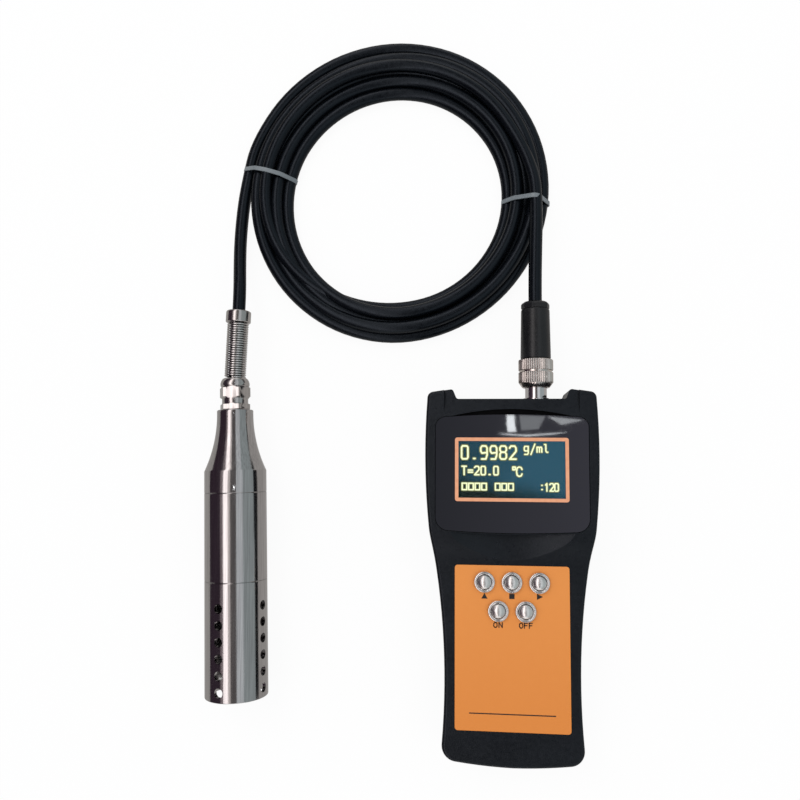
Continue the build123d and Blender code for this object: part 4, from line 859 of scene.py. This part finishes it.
tie_left = tie("coil_tie_left_band", "coil_tie_left", (-144.1, 234.6), -15.0,
               ((0.75, 9.1), (0.25, 9.1), (0.52, HIGH_Z)))
tie_right = tie("coil_tie_right_band", "coil_tie_right", (9.5, 213.0), -3.0,
                ((0.75, 9.9), (0.25, 9.9), (0.72, 14.6)))


# Push buttons

RING_HEIGHT = 2.0
PLUNGER_R = 3.7
DOME_R = 3.62
DOME_RISE = 1.5
DOME_SQUARENESS = 2.2
DOME_STEPS = 12
PLUNGER_LENGTH = 5.0


def button(name, spot):
    """A domed plunger that rides on its own body."""
    top = PLATE_TOP_Z + RING_HEIGHT
    rim = top + 0.06
    foot = top - PLUNGER_LENGTH
    profile = [(0, foot), (PLUNGER_R, foot), (PLUNGER_R, top - 0.15), (DOME_R, rim)]
    for step in range(1, DOME_STEPS + 1):
        share = 1 - step / DOME_STEPS
        profile.append((DOME_R * share, rim + DOME_RISE * (1 - share**DOME_SQUARENESS)))
    piece = lathe(name + "_domed", upright_frame(*spot), profile, "chrome", name, 72, 30, "dome_chrome")
    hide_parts(name)


def button_rings():
    """The bezels of all five buttons: a sloped rim, a flat ring and a dished throat."""
    top = PLATE_TOP_Z + RING_HEIGHT
    base = PLATE_TOP_Z + 0.01
    profile = rounded([(4.9, base - 3, 0), (4.95, base, 0), (5.9, base, 0.05), (5.9, base + 0.6, 0.3),
                       (5.45, top - 0.15, 0.3), (5.1, top, 0.2), (4.75, top + 0.02, 0.15),
                       (4.4, top - 0.35, 0.12), (4.15, top - 0.2, 0.1), (3.95, top - 0.6, 0.1),
                       (3.95, base - 2, 0)], 3)
    rings = joined([placed(upright_frame(*spot), turned(profile)) for spot in BUTTONS.values()])
    piece = mesh_piece("button_rings", *rings, "chrome", "meter", 32)
    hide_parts("button_barrels")


for button_name, button_spot in BUTTONS.items():
    button(button_name, button_spot)
button_rings()


# Printed marks and the display's lit strokes

def flat_piece(name, polygons, z, slot, material, thick):
    """Thin shapes lying at a height: each polygon is a list of corners in millimetres."""
    points = []
    faces = []
    for polygon in polygons:
        first = len(points)
        count = len(polygon)
        points.extend([(x, y, z) for x, y in polygon])
        points.extend([(x, y, z + thick) for x, y in polygon])
        faces.append(tuple(range(first + count, first + 2 * count)))
        faces.append(tuple(range(first + count - 1, first - 1, -1)))
        for step in range(count):
            after = (step + 1) % count
            faces.append((first + step, first + after, first + count + after, first + count + step))
    mesh_piece(name, points, faces, slot, "meter", 40, material)


def stroke(start, end, width, steps=6):
    """A round-ended stroke between two points, as one polygon."""
    a = Vector(start)
    b = Vector(end)
    heading = math.atan2((b - a).y, (b - a).x)
    outline = []
    for centre, first in ((b, heading - math.pi / 2), (a, heading + math.pi / 2)):
        for step in range(steps + 1):
            angle = first + math.pi * step / steps
            outline.append((centre.x + width / 2 * math.cos(angle), centre.y + width / 2 * math.sin(angle)))
    return outline


# Each character's lines of strokes, in a cell one wide and one high
GLYPHS = {
    "0": [[(0.15, 0), (0.85, 0), (1, 0.12), (1, 0.88), (0.85, 1), (0.15, 1), (0, 0.88), (0, 0.12),
           (0.15, 0)]],
    "1": [[(0.15, 0.8), (0.5, 1), (0.5, 0)]],
    "2": [[(0, 0.85), (0.2, 1), (0.8, 1), (1, 0.85), (1, 0.6), (0, 0), (1, 0)]],
    "8": [[(0.2, 0.53), (0, 0.68), (0, 0.88), (0.2, 1), (0.8, 1), (1, 0.88), (1, 0.68), (0.8, 0.53),
           (0.2, 0.53), (0, 0.38), (0, 0.12), (0.2, 0), (0.8, 0), (1, 0.12), (1, 0.38), (0.8, 0.53)]],
    "9": [[(1, 0.5), (0.2, 0.45), (0, 0.6), (0, 0.85), (0.2, 1), (0.8, 1), (1, 0.85), (1, 0.3), (0.8, 0),
           (0.15, 0)]],
    ".": [[(0.4, 0.03), (0.6, 0.03)]],
    "=": [[(0, 0.3), (1, 0.3)], [(0, 0.55), (1, 0.55)]],
    "T": [[(0, 1), (1, 1)], [(0.5, 1), (0.5, 0)]],
    "C": [[(1, 0.75), (0.85, 0.95), (0.5, 1), (0.2, 0.88), (0.1, 0.5), (0.2, 0.12), (0.5, 0), (0.85, 0.05),
           (1, 0.25)]],
    "*": [[(0.3, 0.7), (0.7, 0.7), (0.7, 1), (0.3, 1), (0.3, 0.7)]],
    "g": [[(0.8, 0.95), (0.15, 0.95), (0, 0.75), (0, 0.5), (0.15, 0.35), (0.8, 0.35), (0.85, 0.95),
           (0.85, 0.1), (0.7, -0.1), (0.1, -0.1)]],
    "/": [[(0.05, -0.1), (0.9, 1.25)]],
    "m": [[(0, 0.2), (0, 0.85), (0.35, 0.85), (0.5, 0.7), (0.5, 0.2)],
          [(0.5, 0.7), (0.65, 0.85), (0.9, 0.85), (1, 0.7), (1, 0.2)]],
    "l": [[(0.2, 1.2), (0.5, 1.2), (0.5, 0.35), (0.65, 0.2), (0.9, 0.2)]],
    ":": [[(0.45, 0.2), (0.55, 0.2)], [(0.45, 0.75), (0.55, 0.75)]],
    "[": [[(0, 0.1), (0, 0.95), (1, 0.95), (1, 0.1), (0, 0.1)]],
    "O": [[(0.3, 0), (0.7, 0), (1, 0.25), (1, 0.75), (0.7, 1), (0.3, 1), (0, 0.75), (0, 0.25), (0.3, 0)]],
    "N": [[(0, 0), (0, 1), (1, 0), (1, 1)]],
    "F": [[(0, 0), (0, 1), (0.95, 1)], [(0, 0.52), (0.8, 0.52)]],
}


def glyph_strokes(text, x, y, size, pitch, width):
    """The strokes of a line of characters: x and y are its first cell's lower left corner."""
    polygons = []
    for index, letter in enumerate(text):
        for line in GLYPHS[letter]:
            spots = [(x + index * pitch + u * size[0], y + v * size[1]) for u, v in line]
            polygons += [stroke(start, end, width) for start, end in zip(spots, spots[1:])]
    return polygons


def readout(width):
    """The display's three rows, drawn with strokes of a width: a bracket stands for a block."""
    rows = glyph_strokes("0.9982", -26.7, 61.9, (3.4, 7.0), 5.16, width)
    rows += glyph_strokes("g/ml", 6.9, 64.9, (2.5, 4.1), 3.4, width * 0.8)
    rows += glyph_strokes("T=20.0", -26.5, 53.4, (2.3, 4.5), 3.42, width * 0.85)
    rows += glyph_strokes("*C", -0.2, 52.7, (3.2, 5.0), 2.6, width * 0.85)
    rows += glyph_strokes("[[[[", -26.4, 44.9, (2.5, 4.1), 3.5, width * 0.8)
    rows += glyph_strokes("[[[", -8.6, 44.9, (2.5, 4.1), 3.5, width * 0.8)
    rows += glyph_strokes(":120", 15.2, 45.0, (1.9, 4.0), 2.55, width * 0.8)
    return rows


def keypad_marks():
    """The arrow, square and play marks, the thin line near the plate's foot, and ON and OFF."""
    marks = [
        [(-16.2, -12.6), (-12.9, -12.6), (-BUTTON_PITCH, -9.6)],
        [(-1.4, -12.5), (1.4, -12.5), (1.4, -9.8), (-1.4, -9.8)],
        [(13.2, -12.6), (16.4, -11.05), (13.2, -9.5)],
        [(-22.8, -72.5), (22.6, -72.5), (22.6, -71.9), (-22.8, -71.9)],
    ]
    marks += glyph_strokes("ON", -9.65, -27.5, (1.75, 2.55), 2.75, 0.55)
    marks += glyph_strokes("OFF", 3.95, -27.5, (1.7, 2.55), 2.55, 0.55)
    return marks


# The strip in the crescent slot above the lens is painted shadow: a black sheet laid where the slot's shade
# falls
SHADOW_HALF_WIDTH = 33.0
SHADOW_BASE_Z = 31.55
SHADOW_HEIGHT = 0.9


def slot_shadow():
    """Painted shadow: a black strip at the bottom of the crescent slot above the lens, between two shallow
    bows.
    """
    upper = []
    lower = []
    for step in range(25):
        x = SHADOW_HALF_WIDTH * (step / 12 - 1)
        bow = 3.7 * (x / 33.5) ** 2
        upper.append((x, 88.65 - bow))
        lower.append((x, min(85.9 - 1.8 * (x / 40.65) ** 2, 88.55 - bow)))
    flat_piece("slot_shadow_strip", [upper + lower[::-1]], SHADOW_BASE_Z, "gasket_rubber", "shadow_black", SHADOW_HEIGHT)


flat_piece("readout_glow", readout(1.9), GLASS_TOP_Z + 0.02, "screen_teal", "lit_glow", 0.02)
flat_piece("readout_strokes", readout(0.95), GLASS_TOP_Z + 0.05, "screen_teal", "lit_ink", 0.02)
flat_piece("keypad_marks", keypad_marks(), PLATE_TOP_Z + 0.005, "plate_orange", "print_black", 0.03)
slot_shadow()


# Floor, world, lamps and the cards that only reflections see, in metres apart from the glints

FLOOR_HALF = 6.0
FLOOR_Z = -0.0002

# How much plain white the floor shows to the camera and through glass, and in mirrors
FLOOR_SEEN = 0.93
FLOOR_MIRRORED = 0.45

# The grey sheet that metal mirrors in place of the white floor lies just over it
TABLE_HALF = 2.5
TABLE_Z = -0.0001

# The strips that the probe mirrors stand round it in an arch, and the glints' lamps hang over the lens
CARD_X = -0.11
CARD_Z = 0.02
CARD_REACH = 1.3
CARD_FOOT_Y = -3.0
CARD_HEAD_Y = 3.2
GLINT_Z = 1200.0
WHITE = (1, 1, 1, 1)


def math_node(tree, operation, first, second):
    """A math node fed by an output, and by another output or a number."""
    node = tree.nodes.new("ShaderNodeMath")
    node.operation = operation
    tree.links.new(first, node.inputs[0])
    if isinstance(second, float):
        node.inputs[1].default_value = second
    else:
        tree.links.new(second, node.inputs[1])
    return node.outputs["Value"]


def camera_blend(tree, plain, seen_shader, seen, mirrored):
    """Mix a shader with the look that camera and transmitted rays get, and in part glossy rays."""
    path = tree.nodes.new("ShaderNodeLightPath")
    direct = math_node(tree, "MAXIMUM", path.outputs["Is Camera Ray"], path.outputs["Is Transmission Ray"])
    share = math_node(tree, "MULTIPLY", direct, seen)
    glossy = math_node(tree, "MULTIPLY", path.outputs["Is Glossy Ray"], mirrored)
    mix = tree.nodes.new("ShaderNodeMixShader")
    tree.links.new(math_node(tree, "MAXIMUM", share, glossy), mix.inputs["Fac"])
    tree.links.new(plain, mix.inputs[1])
    tree.links.new(seen_shader, mix.inputs[2])
    return mix.outputs["Shader"]


def square(half, z):
    """The corners of a level square about the origin."""
    return [(-half, -half, z), (half, -half, z), (half, half, z), (-half, half, z)]


def add_sheet(name, points, faces, material):
    """A flat or bent sheet, with its points in metres."""
    mesh = bpy.data.meshes.new(name)
    mesh.from_pydata(points, [], faces)
    mesh.materials.append(material)
    return add_object(name, mesh)


def make_floor():
    """A white floor that keeps the object's shadow."""
    material = bpy.data.materials.new("floor_white")
    material.use_nodes = True
    tree = material.node_tree
    matt = tree.nodes["Principled BSDF"]
    matt.inputs["Base Color"].default_value = (0.95, 0.95, 0.95, 1)
    matt.inputs["Roughness"].default_value = 0.9
    matt.inputs["Specular IOR Level"].default_value = 0.0
    seen = tree.nodes.new("ShaderNodeEmission")
    seen.inputs["Color"].default_value = WHITE
    seen.inputs["Strength"].default_value = 1.0
    look = camera_blend(tree, matt.outputs["BSDF"], seen.outputs["Emission"], FLOOR_SEEN, FLOOR_MIRRORED)
    tree.links.new(look, tree.nodes["Material Output"].inputs["Surface"])
    add_sheet("floor", square(FLOOR_HALF, FLOOR_Z), [(0, 1, 2, 3)], material)


def make_world():
    """A soft sky that looks white to the camera, through glass and in metal."""
    world = bpy.data.worlds.new("world")
    bpy.context.scene.world = world
    world.use_nodes = True
    tree = world.node_tree
    soft = tree.nodes["Background"]
    soft.inputs["Color"].default_value = (0.97, 0.98, 1.0, 1)
    soft.inputs["Strength"].default_value = 0.75
    seen = tree.nodes.new("ShaderNodeBackground")
    seen.inputs["Color"].default_value = WHITE
    seen.inputs["Strength"].default_value = 1.0
    look = camera_blend(tree, soft.outputs["Background"], seen.outputs["Background"], 1.0, 1.0)
    tree.links.new(look, tree.nodes["World Output"].inputs["Surface"])


def glow_card(name, points, faces, colour, strength):
    """A sheet of light that only reflections see."""
    material = bpy.data.materials.new(name)
    material.use_nodes = True
    tree = material.node_tree
    tree.nodes.remove(tree.nodes["Principled BSDF"])
    glow = tree.nodes.new("ShaderNodeEmission")
    glow.inputs["Color"].default_value = (*colour, 1)
    glow.inputs["Strength"].default_value = strength
    tree.links.new(glow.outputs["Emission"], tree.nodes["Material Output"].inputs["Surface"])
    sheet = add_sheet(name, points, faces, material)
    sheet.visible_camera = False
    sheet.visible_diffuse = False
    sheet.visible_transmission = False
    sheet.visible_shadow = False


def card(name, start, end, colour, strength):
    """A long card along Y between two angles, which run from straight up towards +X."""
    steps = 4
    points = []
    for step in range(steps + 1):
        angle = math.radians(start + (end - start) * step / steps)
        x = CARD_X + CARD_REACH * math.sin(angle)
        z = CARD_Z + CARD_REACH * math.cos(angle)
        points += [(x, CARD_FOOT_Y, z), (x, CARD_HEAD_Y, z)]
    faces = [(2 * step, 2 * step + 1, 2 * step + 3, 2 * step + 2) for step in range(steps)]
    glow_card(name, points, faces, colour, strength)


def lens_glint(name, corners, strength):
    """A lamp whose mirror image lies on the lens at these places, in millimetres."""
    spread = (GLINT_Z - LENS_TOP_Z) / (CAMERA_Z - LENS_TOP_Z)
    points = []
    for x, y in corners:
        points.append(Vector((x + spread * (x - CAMERA_X), y + spread * (y - CAMERA_Y), GLINT_Z)) * MM)
    glow_card(name, points, [tuple(range(len(points)))], (0.93, 0.97, 1.0), strength)


def area_light(name, place, aim, size, watts):
    """A square lamp that shines from a place towards another."""
    data = bpy.data.lights.new(name, "AREA")
    data.shape = "RECTANGLE"
    data.size = size
    data.size_y = size
    data.energy = watts
    lamp = add_object(name, data)
    lamp.location = place
    lamp.rotation_euler = (Vector(aim) - Vector(place)).to_track_quat("-Z", "Y").to_euler()


make_floor()
make_world()
card("card_dark", -96, -42, (0.045, 0.03, 0.043), 1.0)
card("card_edge", -42, -31, (0.55, 0.45, 0.48), 0.5)
card("card_bright", -31, -14, (1.0, 0.93, 0.93), 2.1)
card("card_warm", -14, -5, (0.8, 0.74, 0.72), 1.0)
card("card_zenith", -5, 17, (0.13, 0.12, 0.12), 1.0)
card("card_sky", 17, 42, (0.66, 0.7, 0.73), 1.0)
card("card_teal", 42, 97, (0.37, 0.42, 0.43), 1.0)
glow_card("card_table", square(TABLE_HALF, TABLE_Z), [(0, 1, 2, 3)], (0.46, 0.445, 0.43), 1.0)
lens_glint("glint_band", [(-2.4, 85.6), (1.6, 85.4), (1.9, 80.0), (2.6, 76.6), (-2.0, 76.4), (-2.5, 80.0)],
           20.0)
lens_glint("glint_grey", [(4.2, 85.4), (18.0, 84.8), (14.5, 78.0), (5.2, 77.2)], 3.5)
lens_glint("glint_wedge", [(19.0, 84.8), (38.0, 82.8), (26.5, 80.2)], 7.0)
lens_glint("glint_swoosh", [(-7.5, 75.7), (8.0, 74.9), (30.0, 76.4), (22.0, 75.1), (8.0, 74.0), (-4.0, 74.9)],
           14.0)
area_light("key", (-0.7, 0.9, 1.5), (-0.05, 0.1, 0), 0.9, 7.0)
area_light("fill", (0.8, -0.3, 1.3), (-0.05, 0.1, 0), 1.0, 3.0)
